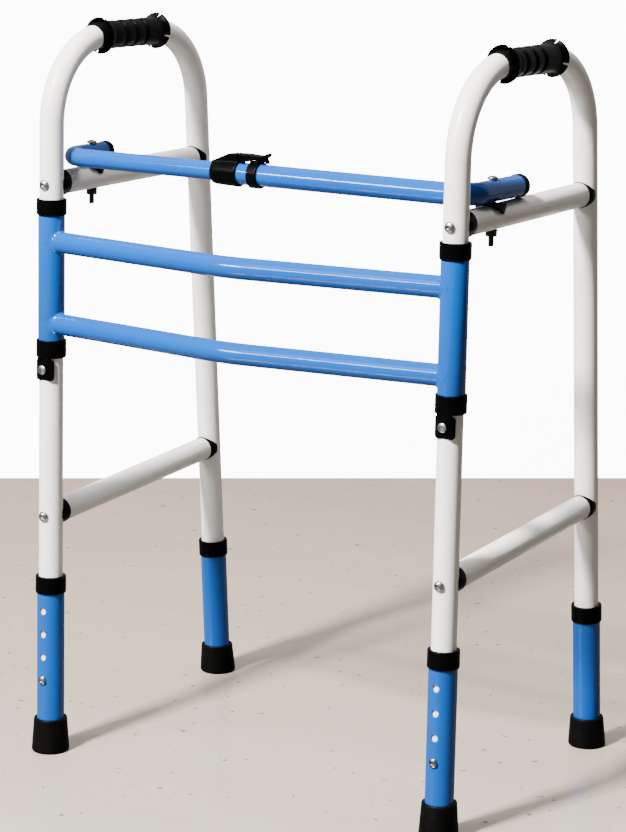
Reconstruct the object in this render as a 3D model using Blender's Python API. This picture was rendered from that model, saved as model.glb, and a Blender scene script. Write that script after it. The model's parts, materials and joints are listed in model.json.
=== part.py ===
"""Folding walking frame: two inverted U side frames that fold inwards on a blue front frame.

Metres, +Z up, front at -Y. Every separate physical piece is its own closed object.
Side pieces end in _left (-X) or _right (+X).
"""

import math

import bmesh
import bpy
import numpy as np
from mathutils import Vector

MM = 0.001

# Overall layout
HALF_WIDTH = 241.0 * MM
FOOT_DEPTH = 323.3 * MM
FRONT_LEAN = 0.0370
REAR_LEAN = 0.0510
HANDLE_HEIGHT = 761.6 * MM
FRONT_BEND_RADIUS = 88.0 * MM
REAR_BEND_RADIUS = 84.0 * MM
CLEARANCE = 0.3 * MM
WELD = 0.004 * MM

# Tube sizes, outer radius and wall
LEG_RADIUS = 12.7 * MM
LEG_WALL = 1.4 * MM
SLEEVE_RADIUS = 14.0 * MM
SLEEVE_WALL = 1.0 * MM
EXTENSION_RADIUS = 14.6 * MM
CROSS_RADIUS = 11.1 * MM
CROSS_WALL = 1.5 * MM
ROD_RADIUS = 9.5 * MM
ROD_WALL = 1.5 * MM
BAR_RADIUS = 11.1 * MM
BAR_WALL = 1.3 * MM

# Side rails: the upper one hangs under the handle, the lower one stands over the floor
UPPER_RAIL_DROP = 148.6 * MM
UPPER_RAIL_RISE = 4.3 * MM
LOWER_RAIL_FRONT = 261.2 * MM
LOWER_RAIL_RISE = 22.1 * MM
RAIL_RADIUS = 12.7 * MM
RAIL_WALL = 1.3 * MM
FRONT_CAP_THICKNESS = 5.5 * MM
REAR_CAP_THICKNESS = 2.4 * MM
CAP_RIM = 0.8 * MM
CAP_PLUG = 16.0 * MM
UPPER_RAIL_FRONT = HANDLE_HEIGHT - UPPER_RAIL_DROP
UPPER_RAIL_REAR = UPPER_RAIL_FRONT + UPPER_RAIL_RISE
LOWER_RAIL_REAR = LOWER_RAIL_FRONT + LOWER_RAIL_RISE

# Front frame, hung under the upper rail
BUSH_DROP = 15.4 * MM
BUSH_COLLAR = 7.0 * MM
BUSH_SKIRT = 10.0 * MM
BUSH_RADIUS = 15.8 * MM
SLEEVE_LENGTH = 147.6 * MM
CROSS_DROP = 37.8 * MM
CROSS_SPACING = 86.2 * MM
CROSS_BOW = 31.4 * MM
BUSH_TOP = UPPER_RAIL_FRONT - BUSH_DROP
SLEEVE_TOP = BUSH_TOP - BUSH_COLLAR
SLEEVE_BOTTOM = SLEEVE_TOP - SLEEVE_LENGTH
CROSS_UPPER = SLEEVE_TOP - CROSS_DROP
CROSS_LOWER = CROSS_UPPER - CROSS_SPACING
CROSS_BEND_RADIUS = 190.0 * MM
VENT_RADIUS = 2.5 * MM

# Stop collar with its lug
COLLAR_LAP = 6.4 * MM
COLLAR_HEIGHT = 18.8 * MM
LUG_HEIGHT = 23.6 * MM
LUG_HALF_WIDTH = 11.8 * MM
LUG_SCREW_DROP = 12.0 * MM
COLLAR_TOP = SLEEVE_BOTTOM + COLLAR_LAP
COLLAR_BOTTOM = COLLAR_TOP - COLLAR_HEIGHT
LUG_BOTTOM = COLLAR_BOTTOM - LUG_HEIGHT
LUG_SCREW = COLLAR_BOTTOM - LUG_SCREW_DROP

# Screws and bolts
BOLT_RADIUS = 3.0 * MM
BOLT_HOLE = 3.3 * MM
BOLT_HEAD_RADIUS = 5.6 * MM
BOLT_HEAD_HEIGHT = 3.4 * MM
SCREW_HEAD_RADIUS = 4.9 * MM

# Leg extensions
FRONT_RING = (175.5 * MM, 194.0 * MM)
REAR_RING = (142.4 * MM, 160.3 * MM)
RING_RADIUS = 16.3 * MM
FRONT_FIRST_HOLE = 80.5 * MM
REAR_FIRST_HOLE = 47.4 * MM
HOLE_PITCH = 25.4 * MM
HOLE_RADIUS = 4.0 * MM
HOLE_COUNT = 4
LEG_END_BELOW_HOLE = 13.0 * MM
FOOT_HEIGHT_FRONT = 37.0 * MM
FOOT_HEIGHT_REAR = 33.0 * MM
FOOT_TOP_RADIUS = 17.7 * MM
FOOT_BOTTOM_RADIUS = 20.3 * MM
FOOT_SOLE = 8.0 * MM

# Top bar
PIVOT_BACK = 70.0 * MM
BAR_BACK = 22.0 * MM
ROD_TAIL = 93.0 * MM
TUBE_TAIL = 122.0 * MM
CAP_THICKNESS = 4.5 * MM
BAR_RISE = 25.6 * MM
BAR_BEND_RADIUS = 24.0 * MM
ROD_END = 60.0 * MM
MOUTH = -42.0 * MM

# Latch, positions along X and heights above the bar axis
LATCH_LEFT = -51.5 * MM
LATCH_STEP = MOUTH - CLEARANCE
LATCH_RIGHT = -20.4 * MM
KEEPER_LEFT = -6.6 * MM
KEEPER_RIGHT = 4.4 * MM
LEVER_PIN = (-33.0 * MM, 17.3 * MM)
LOCK_PIN = (KEEPER_LEFT + KEEPER_RIGHT) / 2.0

# Grip
GRIP_RADIUS = 14.9 * MM
GRIP_FLANGE = 19.4 * MM
GRIP_HALF = 51.0 * MM
GRIP_CENTRE = 134.5 * MM
GRIP_GROOVE = 1.1 * MM
GRIP_PITCH = 18.5 * MM
GRIP_RIBS = 3

FINE = 20
COARSE = 12

LEAN = math.atan(FRONT_LEAN)
REAR = math.atan(REAR_LEAN)
UP = Vector((0.0, math.sin(LEAN), math.cos(LEAN)))
BACK = Vector((0.0, math.cos(LEAN), -math.sin(LEAN)))
REAR_UP = Vector((0.0, -math.sin(REAR), math.cos(REAR)))
REAR_OUT = Vector((0.0, math.cos(REAR), math.sin(REAR)))
ACROSS = Vector((1.0, 0.0, 0.0))

MATERIALS = {
    "white_powder_coat": ((0.86, 0.86, 0.84, 1.0), 0.3, 0.0),
    "blue_powder_coat": ((0.04, 0.24, 0.74, 1.0), 0.28, 0.0),
    "black_plastic": ((0.018, 0.018, 0.02, 1.0), 0.4, 0.0),
    "grip_rubber": ((0.02, 0.02, 0.02, 1.0), 0.6, 0.0),
    "foot_rubber": ((0.022, 0.022, 0.022, 1.0), 0.7, 0.0),
    "zinc_steel": ((0.62, 0.62, 0.64, 1.0), 0.3, 1.0),
}


# Points and directions

def front_point(x, back, up):
    """Point given in the front leg's own frame: across, behind its axis, along its axis."""
    return ACROSS * x + BACK * back + UP * up


def rear_origin(x):
    """Where the rear leg's axis meets the floor."""
    return Vector((x, FOOT_DEPTH, 0.0))


def rear_back(up):
    """How far the rear leg's axis lies behind the front leg's axis at a height along it."""
    start = rear_origin(0.0)
    slope = -math.tan(LEAN + REAR)
    return start.dot(BACK) + slope * (up - start.dot(UP))


def rail_point(x, front, rear, back):
    """Point on a side rail's axis, at a distance behind the front leg's axis."""
    share = back / rear_back(rear)
    return front_point(x, back, front + (rear - front) * share)


def rail_line(x, front, rear):
    """Where a side rail's axis meets the two leg axes, and its direction."""
    start = front_point(x, 0.0, front)
    end = front_point(x, rear_back(rear), rear)
    return start, end, (end - start).normalized()


# Objects

def material(name):
    """The named Principled material, made once."""
    found = bpy.data.materials.get(name)
    if found:
        return found
    colour, roughness, metallic = MATERIALS[name]
    made = bpy.data.materials.new(name)
    made.use_nodes = True
    shader = made.node_tree.nodes["Principled BSDF"]
    shader.inputs["Base Color"].default_value = colour
    shader.inputs["Roughness"].default_value = roughness
    shader.inputs["Metallic"].default_value = metallic
    made.diffuse_color = colour
    return made


def raw_object(name, verts, faces):
    """Mesh object with outward faces."""
    mesh = bpy.data.meshes.new(name)
    mesh.from_pydata([tuple(v) for v in verts], [], faces)
    work = bmesh.new()
    work.from_mesh(mesh)
    bmesh.ops.recalc_face_normals(work, faces=work.faces)
    work.to_mesh(mesh)
    work.free()
    mesh.update()
    obj = bpy.data.objects.new(name, mesh)
    bpy.context.scene.collection.objects.link(obj)
    return obj


def weld(mesh):
    """Merge the doubled points a Boolean leaves."""
    work = bmesh.new()
    work.from_mesh(mesh)
    bmesh.ops.remove_doubles(work, verts=work.verts, dist=WELD)
    bmesh.ops.dissolve_degenerate(work, dist=WELD, edges=work.edges)
    work.to_mesh(mesh)
    work.free()


def combine(target, tools, operation):
    """Apply one exact Boolean for each tool body and remove the tools."""
    for tool in tools:
        modifier = target.modifiers.new("combine", "BOOLEAN")
        modifier.operation = operation
        modifier.solver = "EXACT"
        modifier.object = tool
        bpy.context.view_layer.update()
        graph = bpy.context.evaluated_depsgraph_get()
        mesh = bpy.data.meshes.new_from_object(target.evaluated_get(graph))
        target.modifiers.clear()
        weld(mesh)
        old = target.data
        target.data = mesh
        bpy.data.meshes.remove(old)
        spare = tool.data
        bpy.data.objects.remove(tool)
        bpy.data.meshes.remove(spare)
    return target


def cut(target, tools):
    """Take the tools away from the target."""
    return combine(target, tools, "DIFFERENCE")


def join(target, tools):
    """Add the tools to the target."""
    return combine(target, tools, "UNION")


def finish(obj, name, coat, origin=None):
    """Name the piece, give it its material, shading and origin."""
    obj.name = name
    obj.data.name = name
    obj.data.materials.clear()
    obj.data.materials.append(material(coat))
    if origin is not None:
        for vertex in obj.data.vertices:
            vertex.co -= origin
        obj.location = origin
    obj.data.polygons.foreach_set("use_smooth", [True] * len(obj.data.polygons))
    obj.data.set_sharp_from_angle(angle=math.radians(35.0))
    obj.data.update()
    return obj


# Bodies made of rings

def ring_body(name, rings, closed=True):
    """Body from rings of points: a single point is a pole, and closed joins last to first."""
    verts = []
    starts = []
    for ring in rings:
        starts.append(len(verts))
        verts.extend(ring)
    faces = []
    count = len(rings)
    pairs = range(count if closed else count - 1)
    for i in pairs:
        j = (i + 1) % count
        a, b = rings[i], rings[j]
        if len(a) == 1 and len(b) == 1:
            continue
        sides = max(len(a), len(b))
        for k in range(sides):
            n = (k + 1) % sides
            loop = []
            if len(a) == 1:
                loop = [starts[i], starts[j] + k, starts[j] + n]
            elif len(b) == 1:
                loop = [starts[i] + k, starts[j], starts[i] + n]
            else:
                loop = [starts[i] + k, starts[j] + k, starts[j] + n, starts[i] + n]
            faces.append(loop)
    return raw_object(name, verts, faces)


def circle(centre, first, second, radius, sides, phase=0.0):
    """Ring of points around a centre."""
    if radius <= 1e-9:
        return [centre.copy()]
    points = []
    for k in range(sides):
        angle = 2.0 * math.pi * (k + phase) / sides
        points.append(centre + first * (radius * math.cos(angle)) + second * (radius * math.sin(angle)))
    return points


def lathe(name, profile, origin, axis, sides=FINE, phase=0.0):
    """Body of revolution from (radius, distance along the axis) pairs."""
    axis = axis.normalized()
    first = ACROSS if abs(axis.dot(ACROSS)) < 0.9 else UP
    first = (first - axis * first.dot(axis)).normalized()
    second = axis.cross(first)
    rings = [circle(origin + axis * h, first, second, r, sides, phase) for r, h in profile]
    closed = profile[0][0] > 1e-9 and profile[-1][0] > 1e-9
    return ring_body(name, rings, closed)


def rod_tool(origin, axis, start, end, radius, sides=COARSE, phase=0.0):
    """Plain cylinder between two distances along an axis, for cuts and shanks."""
    profile = [(0.0, start), (radius, start), (radius, end), (0.0, end)]
    return lathe("tool", profile, origin, axis, sides, phase)


def bent_path(corners, radii, steps):
    """Polyline through the corners with a round bend at each inner one."""
    points = [corners[0].copy()]
    for i in range(1, len(corners) - 1):
        here = corners[i]
        before = (corners[i - 1] - here).normalized()
        after = (corners[i + 1] - here).normalized()
        half = before.angle(after) / 2.0
        reach = radii[i - 1] / math.tan(half)
        centre = here + (before + after).normalized() * (radii[i - 1] / math.sin(half))
        arm = here + before * reach - centre
        normal = before.cross(after).normalized()
        turn = math.pi - 2.0 * half
        side = normal.cross(arm)
        sign = 1.0 if side.dot(-before) > 0.0 else -1.0
        for k in range(steps[i - 1] + 1):
            angle = turn * k / steps[i - 1]
            points.append(centre + arm * math.cos(angle) + side * (sign * math.sin(angle)))
    points.append(corners[-1].copy())
    return points


def tangents(path):
    """Direction and widening of the cut at each point of a polyline."""
    result = []
    for i in range(len(path)):
        before = (path[i] - path[i - 1]).normalized() if i > 0 else None
        after = (path[i + 1] - path[i]).normalized() if i < len(path) - 1 else None
        if before is None:
            result.append((after, 1.0))
        elif after is None:
            result.append((before, 1.0))
        else:
            mean = (before + after).normalized()
            result.append((mean, 1.0 / max(mean.dot(before), 0.3)))
    return result


def swept_ring(point, direction, normal, radius, widen, sides, phase=0.0):
    """Ring across a path that lies in the plane with this normal."""
    side = direction.cross(normal).normalized()
    return circle(point, side * widen, normal, radius, sides, phase)


def tube(name, path, normal, outer, inner, sides=FINE, phase=0.0):
    """Hollow tube along a path, open at both ends."""
    cuts = tangents(path)
    outside = []
    inside = []
    for point, (direction, widen) in zip(path, cuts):
        outside.append(swept_ring(point, direction, normal, outer, widen, sides, phase))
        inside.append(swept_ring(point, direction, normal, inner, widen, sides, phase))
    return ring_body(name, outside + inside[::-1])


def solid_bar(name, path, normal, radius, sides=FINE, phase=0.0):
    """Solid bar along a path."""
    cuts = tangents(path)
    rings = [[path[0].copy()]]
    for point, (direction, widen) in zip(path, cuts):
        rings.append(swept_ring(point, direction, normal, radius, widen, sides, phase))
    rings.append([path[-1].copy()])
    return ring_body(name, rings, False)


def prism(name, outline, origin, first, second, depth_axis, low, high):
    """Body from a flat outline in two directions, pushed out along a third."""
    count = len(outline)
    verts = []
    for level in (low, high):
        for a, b in outline:
            verts.append(origin + first * a + second * b + depth_axis * level)
    faces = [list(range(count)), list(range(2 * count - 1, count - 1, -1))]
    for k in range(count):
        n = (k + 1) % count
        faces.append([k, n, count + n, count + k])
    return raw_object(name, verts, faces)


# Screws

def bolt(name, seat, direction, shank, head=BOLT_HEAD_RADIUS, height=BOLT_HEAD_HEIGHT,
         radius=BOLT_RADIUS, origin=None):
    """Domed screw with a hexagon socket: the head stands on the seat, the shank goes the other way."""
    low = CLEARANCE
    dome = height + low
    profile = [
        (0.0, -shank),
        (radius, -shank),
        (radius, low),
        (head, low),
        (head, low + 0.4 * height),
        (head * 0.7, dome),
        (0.0, dome),
    ]
    body = lathe(name, profile, seat, direction, COARSE)
    socket = rod_tool(seat, direction, dome - 0.55 * height, dome + MM, head * 0.42, 6)
    cut(body, [socket])
    return finish(body, name, "zinc_steel", origin)


def hex_nut(name, centre, axis, bore, flat_radius, low, high, origin=None):
    """Hexagon nut with chamfered corners."""
    corner = flat_radius / math.cos(math.pi / 6.0)
    hole = bore / math.cos(math.pi / 6.0)
    body = lathe(name, [(hole, low), (corner, low), (corner, high), (hole, high)], centre, axis, 6)
    return finish(body, name, "zinc_steel", origin)


# Side frames

def leg_cutters(x):
    """Holes through the two legs of a side frame for its screws."""
    tools = []
    for front, rear in RAILS:
        start, end, along = rail_line(x, front, rear)
        for centre in (start, end):
            tools.append(rod_tool(centre, along, -20 * MM, 20 * MM, BOLT_HOLE, 12))
    centre = front_point(x, 0.0, LUG_SCREW)
    tools.append(rod_tool(centre, BACK, -20 * MM, 0.0, BOLT_HOLE, 12))
    return tools


RAILS = ((UPPER_RAIL_FRONT, UPPER_RAIL_REAR), (LOWER_RAIL_FRONT, LOWER_RAIL_REAR))


def frame_path(x):
    """Axis of the bent side tube, from the front leg's lower end over to the rear one's."""
    front_end = front_point(x, 0.0, FRONT_FIRST_HOLE - LEG_END_BELOW_HOLE)
    front_corner = front_point(x, 0.0, HANDLE_HEIGHT)
    rear_corner = front_point(x, rear_back(HANDLE_HEIGHT), HANDLE_HEIGHT)
    rear_end = rear_origin(x) + REAR_UP * (REAR_FIRST_HOLE - LEG_END_BELOW_HOLE)
    corners = [front_end, front_corner, rear_corner, rear_end]
    return bent_path(corners, (FRONT_BEND_RADIUS, REAR_BEND_RADIUS), (8, 8))


def build_side_tube(x, side, pivot):
    """White inverted U."""
    body = tube("body", frame_path(x), ACROSS, LEG_RADIUS, LEG_RADIUS - LEG_WALL)
    cut(body, leg_cutters(x))
    finish(body, "side_frame_tube" + side, "white_powder_coat", pivot)


def build_rail(x, side, label, front, rear, pivot):
    """White side rail, its two black end caps and their screws."""
    start, end, along = rail_line(x, front, rear)
    length = (end - start).length
    first = LEG_RADIUS + FRONT_CAP_THICKNESS
    last = length - LEG_RADIUS - REAR_CAP_THICKNESS
    path = [start + along * first, start + along * last]
    body = tube("body", path, ACROSS, RAIL_RADIUS, RAIL_RADIUS - RAIL_WALL)
    if label == "upper":
        hole = front_point(x, PIVOT_BACK, front)
        cut(body, [rod_tool(hole, UP, -25 * MM, 25 * MM, BOLT_HOLE, 12)])
    finish(body, label + "_rail" + side, "white_powder_coat", pivot)
    # End caps: a plug in the rail and a flange that saddles the leg
    flange = RAIL_RADIUS + CAP_RIM
    plug = RAIL_RADIUS - RAIL_WALL - CLEARANCE
    for end_name, place, inward, axis, rim in (
            ("front", start, along, UP, first), ("rear", end, -along, REAR_UP, length - last)):
        face = rim - CLEARANCE
        profile = [(BOLT_HOLE, 3 * MM), (flange, 3 * MM), (flange, face), (plug, face),
                   (plug, face + CAP_PLUG), (BOLT_HOLE, face + CAP_PLUG)]
        cap = lathe("cap", profile, place, inward)
        leg = rod_tool(place, axis, -40 * MM, 40 * MM, LEG_RADIUS + CLEARANCE, FINE)
        cut(cap, [leg])
        finish(cap, "rail_cap_" + end_name + "_" + label + side, "black_plastic", pivot)
        tilt = BOLT_HEAD_RADIUS * abs(inward.dot(axis))
        seat = place - inward * (LEG_RADIUS + tilt)
        bolt("rail_screw_" + end_name + "_" + label + side, seat, -inward,
             LEG_RADIUS * 2.0 + CAP_PLUG + 2 * MM, origin=pivot)


def build_grip(x, side, pivot):
    """Black grip swept along the top of the side tube, with slit flanges and finger ribs."""
    path = frame_path(x)
    cuts = tangents(path)
    lengths = [0.0]
    for a, b in zip(path, path[1:]):
        lengths.append(lengths[-1] + (b - a).length)
    middle = front_point(x, GRIP_CENTRE, HANDLE_HEIGHT)
    best = min(range(len(path) - 1), key=lambda i: ((path[i] + path[i + 1]) / 2.0 - middle).length)
    start = lengths[best] + (middle - path[best]).dot((path[best + 1] - path[best]).normalized())

    def place(offset):
        distance = start + offset
        for i in range(len(path) - 1):
            if lengths[i] <= distance <= lengths[i + 1]:
                share = (distance - lengths[i]) / (lengths[i + 1] - lengths[i])
                direction = cuts[i][0].lerp(cuts[i + 1][0], share).normalized()
                return path[i].lerp(path[i + 1], share), direction, i
        raise ValueError("grip runs off the tube")

    def ring(offset, radius):
        point, direction, i = place(offset)
        straight = (path[i + 1] - path[i]).normalized()
        return swept_ring(point, direction, ACROSS, radius, 1.0 / direction.dot(straight), FINE)

    def follow(profile):
        """Adds a ring wherever the tube itself has one, so that the grip bends with it."""
        result = [profile[0]]
        for (s0, r0), (s1, r1) in zip(profile, profile[1:]):
            between = [d - start for d in lengths if min(s0, s1) + MM < d - start < max(s0, s1) - MM]
            for s in sorted(between, reverse=s1 < s0):
                result.append((s, r0 + (r1 - r0) * (s - s0) / (s1 - s0)))
            result.append((s1, r1))
        return result

    r = GRIP_RADIUS
    g = GRIP_RADIUS - GRIP_GROOVE
    f = GRIP_FLANGE
    h = GRIP_HALF
    outer = [(-h, f - 0.7 * MM), (-h + 1.3 * MM, f), (-h + 5.5 * MM, r + 1.3 * MM),
             (-h + 9 * MM, r - 0.3 * MM), (-h + 19 * MM, r)]
    for k in range(GRIP_RIBS):
        low = -h + 24 * MM + GRIP_PITCH * k
        outer += [(low, g), (low + 4 * MM, r), (low + GRIP_PITCH - 5 * MM, r)]
    low = -h + 24 * MM + GRIP_PITCH * GRIP_RIBS
    outer += [(low - 0.5 * MM, g), (low + 3.5 * MM, r), (h - 9 * MM, r), (h - 5.5 * MM, r + 1.3 * MM),
              (h - 1.3 * MM, f), (h, f - 0.7 * MM)]
    bore = LEG_RADIUS + CLEARANCE
    inner = [(h - 4.6 * MM, bore + 0.7 * MM), (h - 9 * MM, bore), (-h + 9 * MM, bore),
             (-h + 4.6 * MM, bore + 0.7 * MM)]
    rings = [ring(s, q) for s, q in follow(outer + inner)]
    body = ring_body("grip", rings)
    # Four slits through each flange
    tools = []
    for sign in (-1.0, 1.0):
        point, direction, i = place(sign * (h - 1.0 * MM))
        sideways = direction.cross(ACROSS).normalized()
        for spin in (0.0, 0.5, 1.0, 1.5):
            a = math.pi * (spin + 0.12)
            out = ACROSS * math.cos(a) + sideways * math.sin(a)
            flat = direction.cross(out).normalized()
            near, far = r - 0.2 * MM, f + 3 * MM
            outline = [(near, -1 * MM), (far, -1 * MM), (far, 1 * MM), (near, 1 * MM)]
            tools.append(prism("tool", outline, point, out, flat, direction, -4.5 * MM, 4.5 * MM))
    cut(body, tools)
    finish(body, "grip" + side, "grip_rubber", pivot)


def build_stop_collar(x, side, pivot):
    """Black cup under the sleeve with a screwed lug on the front of the leg."""
    origin = front_point(x, 0.0, 0.0)
    bore = LEG_RADIUS + CLEARANCE
    cup = SLEEVE_RADIUS + CLEARANCE
    lip = SLEEVE_BOTTOM - CLEARANCE
    profile = [
        (0.0, COLLAR_BOTTOM), (BUSH_RADIUS - 0.8 * MM, COLLAR_BOTTOM),
        (BUSH_RADIUS, COLLAR_BOTTOM + 0.8 * MM), (BUSH_RADIUS, COLLAR_TOP - 0.6 * MM),
        (BUSH_RADIUS - 0.6 * MM, COLLAR_TOP), (0.0, COLLAR_TOP),
    ]
    body = lathe("collar", profile, origin, UP)
    top = COLLAR_BOTTOM + 3 * MM
    shell = rod_tool(origin, UP, LUG_BOTTOM, top, BUSH_RADIUS - 0.25 * MM, FINE)
    w = LUG_HALF_WIDTH
    n = w - 3.2 * MM
    b = LUG_BOTTOM
    t = COLLAR_BOTTOM
    outline = [(-w + 3 * MM, b), (w - 3 * MM, b), (w, b + 3 * MM), (w, t - 3.6 * MM),
               (w - 1.2 * MM, t - 2.4 * MM), (n, t - 1.8 * MM), (n, top + MM),
               (-n, top + MM), (-n, t - 1.8 * MM), (-w + 1.2 * MM, t - 2.4 * MM),
               (-w, t - 3.6 * MM), (-w, b + 3 * MM)]
    window = prism("tool", outline, origin, ACROSS, UP, BACK, -30 * MM, -1 * MM)
    combine(shell, [window], "INTERSECT")
    join(body, [shell])
    hole = front_point(x, 0.0, LUG_SCREW)
    cut(body, [
        rod_tool(origin, UP, LUG_BOTTOM - 5 * MM, COLLAR_TOP + 5 * MM, bore, FINE),
        rod_tool(origin, UP, lip, COLLAR_TOP + 5 * MM, cup, FINE),
        rod_tool(hole, BACK, -20 * MM, 0.0, BOLT_HOLE, 12),
    ])
    finish(body, "stop_collar" + side, "black_plastic", pivot)
    seat = hole - BACK * BUSH_RADIUS
    bolt("stop_collar_screw" + side, seat, -BACK, BUSH_RADIUS - LEG_RADIUS + 6 * MM,
         head=SCREW_HEAD_RADIUS, height=2.6 * MM, origin=pivot)


# Leg extensions

def build_extension(x, side, label, origin, axis, out, ring_span, first_hole, foot_height, slope):
    """Blue outer leg with its height holes, top ring, screw and rubber foot."""
    centre = origin + axis * ring_span[0]
    inner = LEG_RADIUS + CLEARANCE
    top = ring_span[1] - 4.0 * MM
    name = label + "_leg" + side
    lowest = FOOT_SOLE + CLEARANCE + EXTENSION_RADIUS * abs(slope)
    path = [origin + axis * lowest, origin + axis * top]
    body = tube("body", path, ACROSS, EXTENSION_RADIUS, inner)
    tools = []
    for k in range(HOLE_COUNT):
        hole = origin + axis * (first_hole + HOLE_PITCH * k)
        tools.append(rod_tool(hole, out, 5 * MM, 20 * MM, HOLE_RADIUS, 12))
    cut(body, tools)
    finish(body, name + "_extension", "blue_powder_coat", centre)
    low, high = ring_span
    cup = EXTENSION_RADIUS + CLEARANCE
    rim = RING_RADIUS
    profile = [(cup, low), (rim - 0.7 * MM, low), (rim, low + 1.2 * MM), (rim, high - 0.6 * MM),
               (rim - 0.6 * MM, high), (inner + 0.6 * MM, high), (inner, high - 1.2 * MM),
               (inner, top + CLEARANCE), (cup, top + CLEARANCE)]
    finish(lathe("ring", profile, origin, axis), name + "_ring", "black_plastic", centre)
    seat = origin + axis * first_hole + out * EXTENSION_RADIUS
    bolt(name + "_height_screw", seat, out, EXTENSION_RADIUS - inner, head=4.7 * MM, height=3.0 * MM,
         radius=HOLE_RADIUS - CLEARANCE, origin=centre)
    # Foot: level rings that follow the leaning leg, so the sole lies flat on the floor
    profile = [(0.0, 0.0), (FOOT_BOTTOM_RADIUS - 1.6 * MM, 0.0), (FOOT_BOTTOM_RADIUS - 0.4 * MM, 0.5 * MM),
               (FOOT_BOTTOM_RADIUS, 2.0 * MM), (FOOT_TOP_RADIUS, foot_height - 2.0 * MM),
               (FOOT_TOP_RADIUS - 1.4 * MM, foot_height), (cup, foot_height), (cup, FOOT_SOLE),
               (0.0, FOOT_SOLE)]
    rings = []
    for radius, height in profile:
        middle = Vector((x, origin.y + slope * height, height))
        rings.append(circle(middle, ACROSS, Vector((0.0, 1.0, 0.0)), radius, FINE))
    finish(ring_body("foot", rings, False), name + "_foot", "foot_rubber", centre)


# Front frame

def build_front_frame():
    """Two blue sleeves welded to two cross bars that bow forward at the middle."""
    body = None
    pieces = []
    for x in (-HALF_WIDTH, HALF_WIDTH):
        origin = front_point(x, 0.0, 0.0)
        pieces.append(rod_tool(origin, UP, SLEEVE_BOTTOM, SLEEVE_TOP, SLEEVE_RADIUS, FINE))
    normal = UP
    bores = []
    vents = []
    for height in (CROSS_UPPER, CROSS_LOWER):
        corners = [front_point(-HALF_WIDTH, 0.0, height), front_point(0.0, -CROSS_BOW, height),
                   front_point(HALF_WIDTH, 0.0, height)]
        path = bent_path(corners, (CROSS_BEND_RADIUS,), (4,))
        pieces.append(solid_bar("bar", path, normal, CROSS_RADIUS))
        inside = [p.copy() for p in path]
        step = (path[1] - path[0]).normalized() * (SLEEVE_RADIUS + 1.5 * MM)
        inside[0] = path[0] + step
        step = (path[-2] - path[-1]).normalized() * (SLEEVE_RADIUS + 1.5 * MM)
        inside[-1] = path[-1] + step
        bores.append(solid_bar("bore", inside, normal, CROSS_RADIUS - CROSS_WALL))
        for end, other in ((0, 1), (-1, -2)):
            way = (path[other] - path[end]).normalized()
            vents.append(rod_tool(path[end] + way * 32 * MM, UP, -20 * MM, 0.0, VENT_RADIUS, 8))
    body = join(pieces[0], pieces[1:])
    for x in (-HALF_WIDTH, HALF_WIDTH):
        origin = front_point(x, 0.0, 0.0)
        inner = SLEEVE_RADIUS - SLEEVE_WALL
        bores.append(rod_tool(origin, UP, SLEEVE_BOTTOM - MM, SLEEVE_TOP + MM, inner, FINE))
    cut(body, bores)
    cut(body, vents)
    finish(body, "front_frame", "blue_powder_coat")
    for x, side in SIDES:
        origin = front_point(x, 0.0, 0.0)
        cup = SLEEVE_RADIUS + CLEARANCE
        bore = LEG_RADIUS + CLEARANCE
        low = SLEEVE_TOP - BUSH_SKIRT
        step = SLEEVE_TOP + CLEARANCE
        rim = BUSH_RADIUS
        profile = [(cup, low), (rim - 1.2 * MM, low), (rim, low + 2.0 * MM), (rim, BUSH_TOP - 0.6 * MM),
                   (rim - 0.6 * MM, BUSH_TOP), (bore, BUSH_TOP), (bore, step), (cup, step)]
        finish(lathe("bush", profile, origin, UP), "sleeve_bush" + side, "black_plastic")


# Top bar

def bar_height():
    """Height of the top bar's axis in the front leg's frame."""
    share = PIVOT_BACK / rear_back(UPPER_RAIL_REAR)
    return UPPER_RAIL_FRONT + (UPPER_RAIL_REAR - UPPER_RAIL_FRONT) * share + BAR_RISE


def bar_point(x, back, above=0.0):
    """Point given from the top bar's axis height."""
    return front_point(x, back, bar_height() + above)


def build_bar_half(x, tail, radius, wall, end_x, name, coat_origin):
    """One half of the top bar: straight part, bend and the end over the rail, with its plug."""
    corners = [bar_point(end_x, BAR_BACK), bar_point(x, BAR_BACK), bar_point(x, tail)]
    path = bent_path(corners, (BAR_BEND_RADIUS,), (6,))
    body = tube("body", path, UP, radius, radius - wall)
    pivot = bar_point(x, PIVOT_BACK)
    tools = [rod_tool(pivot, UP, -25 * MM, 25 * MM, BOLT_HOLE, 12)]
    if name == "top_tube":
        tools.append(rod_tool(bar_point(LOCK_PIN + 0.3 * MM, BAR_BACK), UP, 0.0, 20 * MM, 3.2 * MM, 12))
    cut(body, tools)
    finish(body, name, "blue_powder_coat", coat_origin)
    end = bar_point(x, tail)
    plug = radius - wall - CLEARANCE
    rim = radius + 0.5 * MM
    edge = CLEARANCE + CAP_THICKNESS
    profile = [(0.0, -12 * MM), (plug, -12 * MM), (plug, CLEARANCE), (rim, CLEARANCE),
               (rim, edge - 1.5 * MM), (rim - 1.2 * MM, edge - 0.3 * MM), (0.0, edge)]
    finish(lathe("cap", profile, end, BACK), name + "_end_cap", "black_plastic", coat_origin)


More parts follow.
